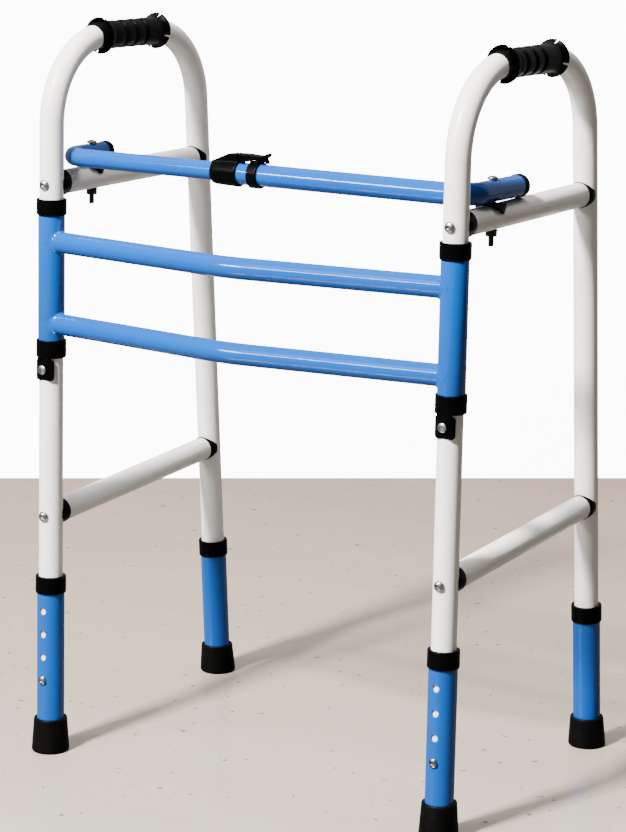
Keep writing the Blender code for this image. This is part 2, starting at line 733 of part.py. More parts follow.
def build_pivots():
    """Saddle, bolt and nut at each end of the top bar."""
    for (x, side), radius in zip(SIDES, (ROD_RADIUS, BAR_RADIUS)):
        hinge = front_point(x, 0.0, UPPER_RAIL_FRONT)
        rail = rail_point(x, UPPER_RAIL_FRONT, UPPER_RAIL_REAR, PIVOT_BACK)
        top = BAR_RISE - radius - CLEARANCE
        outline = [(-1 * MM, 2.5 * MM), (4.5 * MM, 2.5 * MM), (8.5 * MM, top - 2.4 * MM), (8.5 * MM, top),
                   (-13.5 * MM, top), (-13.5 * MM, top - 2.0 * MM), (-6.5 * MM, top - 6.5 * MM)]
        saddle = prism("saddle", outline, rail, BACK, UP, ACROSS, -14.6 * MM, 14.6 * MM)
        along = rail_line(x, UPPER_RAIL_FRONT, UPPER_RAIL_REAR)[2]
        tools = [rod_tool(rail, along, -30 * MM, 30 * MM, RAIL_RADIUS + CLEARANCE, FINE),
                 rod_tool(rail, UP, 0.0, 30 * MM, BOLT_HOLE, 12)]
        cut(saddle, tools)
        finish(saddle, "pivot_saddle" + side, "black_plastic", hinge)
        # Left bolt in one piece. The right one is parted at the saddle, where the loop is open
        below = RAIL_RADIUS + CLEARANCE
        nut = 6.0 * MM
        tip = 10.0 * MM
        seat = bar_point(x, PIVOT_BACK, radius)
        if side == "_left":
            shank = BAR_RISE + radius + below + nut + tip
            bolt("pivot_bolt" + side, seat, UP, shank, head=5.4 * MM, height=4.2 * MM, origin=hinge)
            hex_nut("pivot_nut" + side, rail, -UP, BOLT_HOLE, 5.0 * MM, below, below + nut, origin=hinge)
        else:
            pivot = bar_point(-HALF_WIDTH, PIVOT_BACK)
            bolt("pivot_bolt" + side, seat, UP, 2.0 * radius, head=5.4 * MM, height=4.2 * MM, origin=pivot)
            corner = 5.0 * MM / math.cos(math.pi / 6.0)
            stub = top - 0.2 * MM
            body = lathe("nut", [(0.0, below), (corner, below), (corner, below + nut), (0.0, below + nut)],
                         rail, -UP, 6)
            join(body, [rod_tool(rail, UP, -below - nut - tip, stub, BOLT_RADIUS)])
            finish(body, "pivot_nut" + side, "zinc_steel", hinge)


def build_latch(origin):
    """Black sleeve on the tube's mouth, hinged lock lever and keeper ring."""
    centre = bar_point(0.0, BAR_BACK)
    along = ACROSS
    small = ROD_RADIUS + CLEARANCE
    large = BAR_RADIUS + CLEARANCE
    profile = [
        (0.0, LATCH_LEFT), (12.2 * MM, LATCH_LEFT), (12.9 * MM, LATCH_LEFT + 1.2 * MM),
        (13.5 * MM, LATCH_RIGHT - 14 * MM), (13.6 * MM, LATCH_RIGHT - 0.6 * MM), (13.1 * MM, LATCH_RIGHT),
        (0.0, LATCH_RIGHT),
    ]
    body = lathe("sleeve", profile, centre, along, 24)
    left = LATCH_LEFT + 1.2 * MM
    right = LATCH_RIGHT - 1.0 * MM
    px, pz = LEVER_PIN
    outline = [(left, 9.0 * MM), (right - 1 * MM, 9.0 * MM), (right, pz + 1.2 * MM),
               (right - 1.5 * MM, pz + 2.9 * MM), (px - 1 * MM, pz + 2.7 * MM), (px - 5 * MM, pz + 1.5 * MM),
               (left + 1 * MM, 13.3 * MM), (left, 12.4 * MM)]
    housing = prism("housing", outline, centre, ACROSS, UP, BACK, -7.4 * MM, 7.4 * MM)
    join(body, [housing])
    back_wall = px - 5.5 * MM
    low, high = 13.9 * MM, 26 * MM
    slot = [(back_wall, low), (right + 5 * MM, low), (right + 5 * MM, high), (back_wall, high)]
    pin = centre + ACROSS * px + UP * pz
    tools = [
        rod_tool(centre, ACROSS, LATCH_LEFT - 5 * MM, LATCH_STEP + 0.1 * MM, small, 24),
        rod_tool(centre, ACROSS, LATCH_STEP, LATCH_RIGHT + 5 * MM, large, 24),
        prism("tool", slot, centre, ACROSS, UP, BACK, -4.8 * MM, 4.8 * MM),
        rod_tool(pin, BACK, -6.4 * MM, 6.4 * MM, 1.8 * MM, 12),
    ]
    cut(body, tools)
    finish(body, "latch_sleeve", "black_plastic", origin)
    # Keeper ring with two posts that the lever rests over
    ring = rod_tool(centre, along, KEEPER_LEFT, KEEPER_RIGHT, 13.6 * MM, 24, 0.5)
    posts = []
    for low in (-7.0 * MM, 4.6 * MM):
        outline = [(KEEPER_LEFT + 1.0 * MM, 10.5 * MM), (KEEPER_RIGHT - 1.0 * MM, 10.5 * MM),
                   (KEEPER_RIGHT - 0.6 * MM, 15.3 * MM), (KEEPER_LEFT + 0.6 * MM, 15.3 * MM)]
        posts.append(prism("post", outline, centre, ACROSS, UP, BACK, low, low + 2.4 * MM))
    join(ring, posts)
    tools = [rod_tool(centre, ACROSS, KEEPER_LEFT - 5 * MM, KEEPER_RIGHT + 5 * MM, large, 24, 0.5),
             rod_tool(bar_point(LOCK_PIN + 0.3 * MM, BAR_BACK), UP, 5 * MM, 20 * MM, 3.2 * MM, 12)]
    cut(ring, tools)
    finish(ring, "latch_keeper", "black_plastic", origin)
    # Lever: hinge eye, paddle, upturned lip and lock pin
    eye = [(-2.7, 0.3), (-2.2, -1.6), (-0.6, -2.7), (1.6, -2.6), (5.0, -1.9)]
    outline = [(px + a * MM, pz + b * MM) for a, b in eye]
    top = [(14.4, 15.6), (39.5, 15.6), (41.5, 17.0), (45.4, 19.4), (45.8, 20.6), (42.0, 19.9), (37.0, 19.8),
           (27.0, 20.0), (19.0, 20.2), (11.0, 20.0), (2.0, 19.8), (-1.8, 19.4)]
    outline += [(px + a * MM, b * MM) for a, b in top]
    lever = prism("lever", outline, centre, ACROSS, UP, BACK, -4.4 * MM, 4.4 * MM)
    wide = [(14.0, 16.2), (39.0, 16.2), (41.2, 17.3), (45.3, 19.7), (42.0, 19.6), (37.0, 19.5), (27.0, 19.7),
            (19.0, 19.9), (14.0, 19.7)]
    wide = [(px + a * MM, b * MM) for a, b in wide]
    join(lever, [
        prism("paddle", wide, centre, ACROSS, UP, BACK, -7.0 * MM, 7.0 * MM),
        rod_tool(pin, BACK, -6.1 * MM, 6.1 * MM, 1.5 * MM, 12),
        rod_tool(bar_point(LOCK_PIN, BAR_BACK), UP, ROD_RADIUS + CLEARANCE, 17 * MM, 2.2 * MM, 12),
    ])
    finish(lever, "latch_lever", "black_plastic", pin)


SIDES = ((-HALF_WIDTH, "_left"), (HALF_WIDTH, "_right"))


def main():
    for obj in list(bpy.data.objects):
        bpy.data.objects.remove(obj)
    build_front_frame()
    for x, side in SIDES:
        pivot = front_point(x, 0.0, UPPER_RAIL_FRONT)
        build_side_tube(x, side, pivot)
        build_rail(x, side, "upper", UPPER_RAIL_FRONT, UPPER_RAIL_REAR, pivot)
        build_rail(x, side, "lower", LOWER_RAIL_FRONT, LOWER_RAIL_REAR, pivot)
        build_grip(x, side, pivot)
        build_stop_collar(x, side, pivot)
        build_extension(x, side, "front", front_point(x, 0.0, 0.0), UP, -BACK, FRONT_RING, FRONT_FIRST_HOLE,
                        FOOT_HEIGHT_FRONT, FRONT_LEAN)
        build_extension(x, side, "rear", rear_origin(x), REAR_UP, REAR_OUT, REAR_RING, REAR_FIRST_HOLE,
                        FOOT_HEIGHT_REAR, -REAR_LEAN)
    left = bar_point(-HALF_WIDTH, PIVOT_BACK)
    build_bar_half(-HALF_WIDTH, ROD_TAIL, ROD_RADIUS, ROD_WALL, ROD_END, "top_rod", left)
    build_bar_half(HALF_WIDTH, TUBE_TAIL, BAR_RADIUS, BAR_WALL, MOUTH, "top_tube", left)
    build_pivots()
    build_latch(left)
    # Centre the walker over the origin
    bpy.context.view_layer.update()
    low = np.full(3, 1e9)
    high = np.full(3, -1e9)
    for obj in bpy.data.objects:
        points = np.array([obj.matrix_world @ v.co for v in obj.data.vertices])
        low = np.minimum(low, points.min(axis=0))
        high = np.maximum(high, points.max(axis=0))
    shift = Vector((0.0, -(low[1] + high[1]) / 2.0, -low[2]))
    for obj in bpy.data.objects:
        obj.location = obj.location + shift
    bpy.context.view_layer.update()


main()
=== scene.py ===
"""Looks of a folding walking frame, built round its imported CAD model.

The file is laid out as a Blender add-on: sizes and colours are properties, and each group of pieces
has an operator of its own. New pieces are surfaces worked out with numpy in metres, in the frame of
the CAD model: +Z up and the front at -Y.
"""

import json
import math

import bpy
import numpy as np
from bpy.props import FloatProperty, FloatVectorProperty, PointerProperty
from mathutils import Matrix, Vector


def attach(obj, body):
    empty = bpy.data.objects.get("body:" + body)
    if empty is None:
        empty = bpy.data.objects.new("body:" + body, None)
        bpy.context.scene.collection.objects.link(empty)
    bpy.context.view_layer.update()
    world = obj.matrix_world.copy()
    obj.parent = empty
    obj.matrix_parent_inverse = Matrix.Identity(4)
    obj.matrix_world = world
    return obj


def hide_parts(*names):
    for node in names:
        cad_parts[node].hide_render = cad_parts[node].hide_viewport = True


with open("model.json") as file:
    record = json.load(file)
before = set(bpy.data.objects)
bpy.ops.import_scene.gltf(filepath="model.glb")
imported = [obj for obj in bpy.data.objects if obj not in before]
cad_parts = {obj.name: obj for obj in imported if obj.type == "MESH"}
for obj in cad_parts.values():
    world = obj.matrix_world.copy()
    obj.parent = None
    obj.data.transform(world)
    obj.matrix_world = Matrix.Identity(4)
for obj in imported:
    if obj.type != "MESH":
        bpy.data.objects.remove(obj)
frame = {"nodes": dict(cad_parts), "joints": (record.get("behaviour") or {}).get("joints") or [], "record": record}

bl_info = {
    "name": "Folding walking frame",
    "version": (1, 0, 0),
    "blender": (4, 5, 0),
    "location": "View3D > Sidebar > Walker",
    "description": "Builds the pieces, finishes, stage and camera of a folding walking frame",
    "category": "Object",
}

MM = 0.001

# Axes of the model, taken from the joints of the frame
JOINTS = {joint["name"]: joint for joint in frame["joints"]}
HINGE = np.array(JOINTS["left_fold"]["pos_m"])
ACROSS = np.array([1.0, 0.0, 0.0])
UP = -np.array(JOINTS["left_fold"]["axis"])
BACK = np.cross(UP, ACROSS)
REAR_UP = -np.array(JOINTS["rear_left_height"]["axis"])
REAR_OUT = np.cross(REAR_UP, ACROSS)
HALF_WIDTH = abs(HINGE[0])
SIDES = ((-HALF_WIDTH, "left"), (HALF_WIDTH, "right"))

# Side frames: heights along the front leg's axis and distances behind it
HANDLE = 761.6 * MM
UPPER_RAIL = (613.0 * MM, 617.3 * MM)
LOWER_RAIL = (261.2 * MM, 283.3 * MM)
FOOT_DEPTH = 323.3 * MM
BEND_FRONT = 88.0 * MM
BEND_REAR = 84.0 * MM
LEG_END = 67.5 * MM
REAR_LEG_END = 34.4 * MM
FRONT_CAP = 5.5 * MM
REAR_CAP = 2.4 * MM
HOLE_PITCH = 25.4 * MM
GAP = 0.3 * MM

# Front frame and stop collars
BUSH_TOP = 597.6 * MM
SLEEVE_TOP = 590.6 * MM
SLEEVE_BOTTOM = 443.0 * MM
CROSS_HEIGHTS = (552.8 * MM, 466.6 * MM)
CROSS_BOW = 31.4 * MM
CROSS_BEND = 190.0 * MM
COLLAR_TOP = 449.4 * MM
COLLAR_BOTTOM = 430.6 * MM
LUG_BOTTOM = 407.0 * MM
LUG_SCREW = 418.6 * MM
LUG_HALF = 11.8 * MM

# Grips: lengths along the handle from the grip's middle
GRIP_BACK = 134.5 * MM
GRIP_HALF = 51.0 * MM
GRIP_SKIRT = 9.5 * MM
GROOVE_PITCH = 18.5 * MM
FIRST_GROOVE = {"left": 28.5 * MM, "right": 23.5 * MM}
SLIT_DEPTH = 5.2 * MM
NECK_LIP = 11.0 * MM

# Top bar: lengths along it are from the middle of the walker
BAR_RISE = 25.6 * MM
PIVOT_BACK = 70.0 * MM
BAR_BACK = 22.0 * MM
BAR_WALL = 1.3 * MM
ROD_TAIL = 93.0 * MM
TUBE_TAIL = 122.0 * MM
ROD_END = 60.0 * MM
MOUTH = -42.0 * MM

# Latch, in millimetres from the middle of the bar's axis: ends of its sleeve and keeper, lever's pin
LATCH = (-51.5, -20.4)
KEEPER = (-6.6, 4.4)
LEVER_PIN = (-33.0, 17.3)

# Camera and wall
EYE = np.array([1.6275, -2.5975, 1.099])
EYE_TURN = math.radians(32.18)
EYE_TIP = math.radians(13.42)
LENS = 129.5
WALL_AHEAD = 4.217


class WalkerSizes(bpy.types.PropertyGroup):
    """Sizes of the pieces that the scene draws"""

    leg_radius: FloatProperty(
        name="Leg tube", description="Outer radius of the white tube",
        default=12.7 * MM, min=0.008, max=0.02, unit="LENGTH")
    sleeve_radius: FloatProperty(
        name="Sleeve tube", description="Outer radius of the blue sleeves",
        default=14.0 * MM, min=0.01, max=0.025, unit="LENGTH")
    extension_radius: FloatProperty(
        name="Leg extension", description="Outer radius of the blue leg extensions",
        default=14.6 * MM, min=0.01, max=0.025, unit="LENGTH")
    cross_radius: FloatProperty(
        name="Cross bar", description="Outer radius of the blue cross bars",
        default=11.1 * MM, min=0.006, max=0.02, unit="LENGTH")
    rod_radius: FloatProperty(
        name="Top rod", description="Outer radius of the thin half of the top bar",
        default=9.5 * MM, min=0.005, max=0.02, unit="LENGTH")
    bar_radius: FloatProperty(
        name="Top tube", description="Outer radius of the wide half of the top bar",
        default=11.1 * MM, min=0.006, max=0.02, unit="LENGTH")
    grip_radius: FloatProperty(
        name="Grip", description="Radius of the grip on its ribs",
        default=14.9 * MM, min=0.012, max=0.03, unit="LENGTH")
    flange_radius: FloatProperty(
        name="Grip flange", description="Radius of the flared ends of the grip",
        default=19.3 * MM, min=0.014, max=0.035, unit="LENGTH")
    groove_depth: FloatProperty(
        name="Grip groove", description="Depth of the grooves between the ribs",
        default=1.6 * MM, min=0.0, max=0.004, unit="LENGTH")
    ring_radius: FloatProperty(
        name="Sleeve rings", description="Outer radius of the black rings on the sleeves",
        default=15.8 * MM, min=0.014, max=0.03, unit="LENGTH")
    collar_radius: FloatProperty(
        name="Extension rings", description="Outer radius of the rings on the leg extensions",
        default=16.3 * MM, min=0.014, max=0.03, unit="LENGTH")
    weld_radius: FloatProperty(
        name="Weld fillet", description="Fillet where a cross bar meets its sleeve",
        default=3.2 * MM, min=0.0005, max=0.005, unit="LENGTH")


class WalkerColours(bpy.types.PropertyGroup):
    """Colours and finish of the pieces"""

    white: FloatVectorProperty(
        name="White coat", description="Colour of the legs and rails",
        size=3, subtype="COLOR", default=(0.80, 0.785, 0.75), min=0.0, max=1.0)
    blue: FloatVectorProperty(
        name="Blue coat", description="Colour of the bars, sleeves and leg extensions",
        size=3, subtype="COLOR", default=(0.0002, 0.06, 0.285), min=0.0, max=1.0)
    black: FloatVectorProperty(
        name="Black plastic", description="Colour of the moulded rings, caps and latch",
        size=3, subtype="COLOR", default=(0.0008, 0.0008, 0.0009), min=0.0, max=1.0)
    rubber: FloatVectorProperty(
        name="Rubber", description="Colour of the grips and feet",
        size=3, subtype="COLOR", default=(0.0016, 0.0016, 0.0014), min=0.0, max=1.0)
    steel: FloatVectorProperty(
        name="Zinc", description="Colour of the screws, bolts and nuts",
        size=3, subtype="COLOR", default=(0.36, 0.355, 0.35), min=0.0, max=1.0)
    floor: FloatVectorProperty(
        name="Floor", description="Colour of the floor",
        size=3, subtype="COLOR", default=(0.35, 0.3, 0.25), min=0.0, max=1.0)
    peel: FloatProperty(
        name="Orange peel", description="Depth of the powder coat's fine waviness",
        default=0.016 * MM, min=0.0, max=0.0002, precision=6, unit="LENGTH")
    dust: FloatProperty(
        name="Dust", description="Share of dust on the rubber",
        default=0.25, min=0.0, max=1.0, subtype="FACTOR")


# Points

def unit(vector):
    """Vector of length one."""
    return vector / np.linalg.norm(vector)


def at(x, back, up):
    """Point across, behind and along the front leg's axis, from where that axis meets the floor."""
    floor_y = HINGE[1] - UP[1] * UPPER_RAIL[0]
    return ACROSS * x + BACK * back + UP * up + np.array([0.0, floor_y, 0.0])


def rear_foot(x):
    """Where the rear leg's axis meets the floor."""
    return np.array([x, HINGE[1] - UP[1] * UPPER_RAIL[0] + FOOT_DEPTH, 0.0])


def rear_back(up):
    """Distance of the rear leg's axis behind the front one's, at a height along the front one."""
    low = rear_foot(0.0) - at(0.0, 0.0, 0.0)
    slope = REAR_UP @ BACK / (REAR_UP @ UP)
    return low @ BACK + slope * (up - low @ UP)


def side_path(x, steps):
    """Points and directions of a side tube's axis, from the front leg's end round to the rear one's."""
    corners = [at(x, 0.0, LEG_END), at(x, 0.0, HANDLE), at(x, rear_back(HANDLE), HANDLE),
               rear_foot(x) + REAR_UP * REAR_LEG_END]
    return bent_path(corners, (BEND_FRONT, BEND_REAR), steps)


def each_rail():
    """Side, level, start, end and direction of every side rail's axis, from leg axis to leg axis."""
    for x, side in SIDES:
        for level, (front, rear) in (("upper", UPPER_RAIL), ("lower", LOWER_RAIL)):
            start, end = at(x, 0.0, front), at(x, rear_back(rear), rear)
            yield side, level, start, end, unit(end - start)


def rail_ends():
    """Every rail's ends: side, level, place, point on the leg's axis, way into the rail, leg's axis."""
    for side, level, start, end, along in each_rail():
        yield side, level, "front", start, along, UP
        yield side, level, "rear", end, -along, REAR_UP


def bar_at(x, back, above=0.0):
    """Point measured from the height of the top bar's axis over the upper rail."""
    share = PIVOT_BACK / rear_back(UPPER_RAIL[1])
    height = UPPER_RAIL[0] + (UPPER_RAIL[1] - UPPER_RAIL[0]) * share + BAR_RISE
    return at(x, back, height + above)


# Surfaces

def square_to(axis):
    """Two directions square to an axis and to each other."""
    first = ACROSS if abs(axis @ ACROSS) < 0.9 else UP
    first = unit(first - axis * (axis @ first))
    return first, np.cross(axis, first)


def turns(columns):
    """Angles of the columns, evenly round a full turn."""
    return np.linspace(0.0, 2.0 * np.pi, columns, endpoint=False)


def spokes(angles, first, second):
    """Directions first * cos a + second * sin a, one for each angle."""
    return np.cos(angles)[..., None] * first + np.sin(angles)[..., None] * second


def turned(profile, origin, axis, columns=64, shear=0.0):
    """Turned surface: origin + h * (axis + shear) + r * (cos a, sin a), for (r, h) in the profile."""
    r, h = np.array(profile, float).T
    around = spokes(turns(columns), *square_to(axis))
    return origin + h[:, None, None] * axis + r[:, None, None] * around[None] + h[:, None, None] * shear


def carried(points, ways, normal, radius, columns=64):
    """Rings along a path, square to it: p + radius * (side * cos a + normal * sin a)."""
    side = np.cross(ways, normal)
    side /= np.linalg.norm(side, axis=1)[:, None]
    return points[:, None, :] + radius * spokes(turns(columns), side[:, None], normal)


def bent_path(corners, radii, steps=24):
    """Points and directions of a path of straight runs joined by circular arcs at its corners."""
    corners = [np.asarray(c, float) for c in corners]
    points = [corners[0][None]]
    ways = [unit(corners[1] - corners[0])[None]]
    for before, here, after, radius in zip(corners, corners[1:], corners[2:], radii):
        u = unit(before - here)
        v = unit(after - here)
        half = math.acos(u @ v) / 2.0
        centre = here + unit(u + v) * radius / math.sin(half)
        arm = here + u * radius / math.tan(half) - centre
        ahead = -u * radius
        turn = np.linspace(0.0, math.pi - 2.0 * half, steps)[:, None]
        points.append(centre + arm * np.cos(turn) + ahead * np.sin(turn))
        ways.append((ahead * np.cos(turn) - arm * np.sin(turn)) / radius)
    points.append(corners[-1][None])
    ways.append(unit(corners[-1] - corners[-2])[None])
    return np.concatenate(points), np.concatenate(ways)


def rounded(corners, steps=5, loop=False):
    """Profile through (r, h, fillet) corners, each fillet an arc tangent to both of its sides."""
    result = []
    count = len(corners)
    for i, (r, h, fillet) in enumerate(corners):
        here = np.array([r, h], float)
        if fillet <= 0.0 or (not loop and i in (0, count - 1)):
            result.append(here[None])
            continue
        before = np.array(corners[i - 1][:2], float)
        after = np.array(corners[(i + 1) % count][:2], float)
        u, v = unit(before - here), unit(after - here)
        half = math.acos(np.clip(u @ v, -1.0, 1.0)) / 2.0
        room = 0.49 * min(np.linalg.norm(before - here), np.linalg.norm(after - here))
        reach = min(fillet / math.tan(half), room)
        centre = here + unit(u + v) * reach * math.tan(half) / math.sin(half)
        a, b = here + u * reach - centre, here + v * reach - centre
        sweep = math.pi - 2.0 * half
        s = np.linspace(0.0, 1.0, steps)[:, None]
        result.append(centre + (a * np.sin((1.0 - s) * sweep) + b * np.sin(s * sweep)) / math.sin(sweep))
    return np.concatenate(result)


def skin(grid, loop=False):
    """Closed shell over rings of points: a loop joins the last ring to the first, else fans close the ends."""
    rows, columns = grid.shape[:2]
    points = grid.reshape(-1, 3)
    i = np.arange(rows if loop else rows - 1)[:, None]
    j = np.arange(columns)[None]
    after, beside = (i + 1) % rows, (j + 1) % columns
    here, there = i * columns, after * columns
    quads = np.stack([here + j, here + beside, there + beside, there + j], -1).reshape(-1, 4)
    tris = np.zeros((0, 3), int)
    if not loop:
        first, last = len(points), len(points) + 1
        points = np.concatenate([points, grid[0].mean(0)[None], grid[-1].mean(0)[None]])
        k = np.arange(columns)
        n = (k + 1) % columns
        low = np.stack([n, k, np.full(columns, first)], -1)
        high = np.stack([k, n, np.full(columns, last)], -1)
        high[:, :2] += (rows - 1) * columns
        tris = np.concatenate([low, high])
    return outward(points, quads, tris)


def lathe(corners, steps, origin, axis, columns, loop=True):
    """Closed turned shell whose profile has filleted corners."""
    return skin(turned(rounded(corners, steps, loop), origin, axis, columns), loop)


def peg(radius, low, high, origin, axis, columns):
    """Plain round pin between two heights on its axis."""
    return skin(turned([(radius, low), (radius, high)], origin, axis, columns))


def sheet_shell(outer, inner, quads):
    """Closed shell of a sheet of quads given on its two faces, with a wall along each open edge."""
    edges = np.concatenate([quads[:, [k, (k + 1) % 4]] for k in range(4)])
    _, index, counts = np.unique(np.sort(edges, axis=1), axis=0, return_inverse=True, return_counts=True)
    rim = edges[counts[index.ravel()] == 1]
    count = len(outer)
    walls = np.stack([rim[:, 1], rim[:, 0], rim[:, 0] + count, rim[:, 1] + count], -1)
    faces = np.concatenate([quads, quads[:, ::-1] + count, walls])
    return outward(np.concatenate([outer, inner]), faces, np.zeros((0, 3), int))


def outward(points, quads, tris):
    """Faces turned outwards: a closed shell with its faces outwards has a positive volume."""
    corners = np.concatenate([quads[:, [0, 1, 2]], quads[:, [0, 2, 3]], tris])
    a, b, c = (points[corners[:, k]] - points.mean(0) for k in range(3))
    if np.einsum("ij,ij->i", a, np.cross(b, c)).sum() < 0.0:
        quads, tris = quads[:, ::-1], tris[:, ::-1]
    return points, quads, tris


def put_in_scene(name, data):
    """New object in the scene."""
    obj = bpy.data.objects.new(name, data)
    bpy.context.scene.collection.objects.link(obj)
    return obj


def piece(name, shells, coat, body, replaces, sharp=38.0, groove=None):
    """One mesh object from closed shells, shaded smooth with sharp edges, riding on a CAD body.

    groove gives the share of painted shade at each point, kept on the mesh as its "groove" attribute for the
    finish.
    """
    points, quads, tris, start = [], [], [], 0
    for p, q, t in shells:
        points.append(p)
        quads.append(q + start)
        tris.append(t + start)
        start += len(p)
    points, quads, tris = np.concatenate(points), np.concatenate(quads), np.concatenate(tris)
    mesh = bpy.data.meshes.new(name)
    mesh.vertices.add(len(points))
    mesh.vertices.foreach_set("co", points.astype(np.float32).ravel())
    loops = np.concatenate([quads.ravel(), tris.ravel()]).astype(np.int32)
    mesh.loops.add(len(loops))
    mesh.loops.foreach_set("vertex_index", loops)
    sizes = np.concatenate([np.full(len(quads), 4), np.full(len(tris), 3)])
    starts = np.concatenate([[0], np.cumsum(sizes)[:-1]]).astype(np.int32)
    mesh.polygons.add(len(sizes))
    mesh.polygons.foreach_set("loop_start", starts)
    mesh.polygons.foreach_set("use_smooth", np.ones(len(sizes), bool))
    mesh.update(calc_edges=True)
    mesh.validate()
    mesh.set_sharp_from_angle(angle=math.radians(sharp))
    # Painted shade: the share of shade at each point, which the finish uses to dim the colour
    if groove is not None:
        kept = mesh.attributes.new("groove", "FLOAT", "POINT")
        kept.data.foreach_set("value", groove.astype(np.float32).ravel())
    mesh.materials.append(bpy.data.materials[coat])
    obj = put_in_scene(name, mesh)
    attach(obj, body)
    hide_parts(*replaces)


# Materials

SLOTS = {
    "white_coat": "white_powder_coat",
    "blue_coat": "blue_powder_coat",
    "satin_plastic": "black_plastic",
    "ribbed_grip": "grip_rubber",
    "foot_rubber_worn": "foot_rubber",
    "dark_thread": "zinc_steel",
    "zinc_plate": "zinc_steel",
}


def put(tree, slot, value):
    """Give a node's input a number, a colour, a vector or another node's output."""
    if isinstance(value, bpy.types.NodeSocket):
        tree.links.new(value, slot)
    else:
        slot.default_value = (*value, 1.0) if slot.type == "RGBA" else value


def node(tree, kind, values=None, **settings):
    """New shader node with its settings, and its inputs given by name or number."""
    made = tree.nodes.new("ShaderNode" + kind)
    for name, value in settings.items():
        setattr(made, name, value)
    for name, value in (values or {}).items():
        put(tree, made.inputs[name], value)
    return made


def calc(tree, operation, a, b):
    """Result of one step of arithmetic on two sockets or numbers."""
    return node(tree, "Math", {0: a, 1: b}, operation=operation).outputs[0]


def noise(tree, vector, scale, detail, roughness=0.5):
    """Noise texture's value at a position."""
    values = {"Vector": vector, "Scale": scale, "Detail": detail, "Roughness": roughness}
    return node(tree, "TexNoise", values).outputs["Fac"]


def span(tree, value, low, high, to_low=0.0, to_high=1.0):
    """Value moved from one range to another and held within it."""
    values = {"Value": value, "From Min": low, "From Max": high, "To Min": to_low, "To Max": to_high}
    return node(tree, "MapRange", values).outputs["Result"]


def blend(tree, share, a, b):
    """Colour mixed from a to b by a share: inputs 6 and 7 and output 2 are the node's colour sockets."""
    return node(tree, "Mix", {0: share, 6: a, 7: b}, data_type="RGBA").outputs[2]


def mix_shader(tree, share, a, b):
    """Shader mixed from a to b by a share."""
    return node(tree, "MixShader", {0: share, 1: a, 2: b}).outputs[0]


def scaled(colour, factors):
    """Colour times a factor, or times one factor for each of its channels."""
    return tuple(float(v) for v in np.multiply(colour, factors))


def socket_group(name, inputs, outputs):
    """Shader node group with named sockets: its tree, the values given to it and the ones it puts out."""
    tree = bpy.data.node_groups.new(name, "ShaderNodeTree")
    for label, kind, value in inputs:
        socket = tree.interface.new_socket(name=label, in_out="INPUT", socket_type="NodeSocket" + kind)
        if value is not None:
            socket.default_value = value
    for label, kind in outputs:
        tree.interface.new_socket(name=label, in_out="OUTPUT", socket_type="NodeSocket" + kind)
    return tree, tree.nodes.new("NodeGroupInput").outputs, tree.nodes.new("NodeGroupOutput").inputs


def make_groups():
    """Shared effects: a finish with slow variation and fine specks, and a surface height of grain."""
    tree, given, end = socket_group(
        "surface_variation",
        [("Position", "Vector", None), ("Colour", "Color", (0.5, 0.5, 0.5, 1.0)),
         ("Dust Colour", "Color", (0.3, 0.29, 0.27, 1.0)), ("Shade", "Float", 0.05),
         ("Dust", "Float", 0.1), ("Smooth", "Float", 0.25), ("Rough", "Float", 0.4)],
        [("Colour", "Color"), ("Roughness", "Float")])
    slow = noise(tree, given["Position"], 14.0, 4.0, 0.55)
    smear = noise(tree, given["Position"], 70.0, 5.0, 0.65)
    darker = span(tree, slow, 0.3, 0.7, calc(tree, "SUBTRACT", 1.0, given["Shade"]), 1.0)
    tone = node(tree, "VectorMath", {0: given["Colour"], "Scale": darker}, operation="SCALE")
    patch = span(tree, smear, 0.5, 0.78, 0.0, given["Dust"])
    put(tree, end["Colour"], blend(tree, patch, tone.outputs[0], given["Dust Colour"]))
    mixed = calc(tree, "ADD", calc(tree, "MULTIPLY", slow, 0.6), calc(tree, "MULTIPLY", smear, 0.4))
    put(tree, end["Roughness"], span(tree, mixed, 0.35, 0.65, given["Smooth"], given["Rough"]))

    tree, given, end = socket_group(
        "grain_height",
        [("Position", "Vector", None), ("Fine", "Float", 1500.0), ("Coarse", "Float", 300.0),
         ("Share", "Float", 0.5)],
        [("Height", "Float")])
    fine = calc(tree, "MULTIPLY", noise(tree, given["Position"], given["Fine"], 2.0), given["Share"])
    others = calc(tree, "SUBTRACT", 1.0, given["Share"])
    coarse = calc(tree, "MULTIPLY", noise(tree, given["Position"], given["Coarse"], 2.0), others)
    put(tree, end["Height"], calc(tree, "ADD", fine, coarse))


def new_finish(name):
    """New material, its node tree, its Principled shader and the piece's own coordinates."""
    made = bpy.data.materials.new(name)
    made.use_nodes = True
    tree = made.node_tree
    return made, tree, tree.nodes["Principled BSDF"], node(tree, "TexCoord").outputs["Object"]


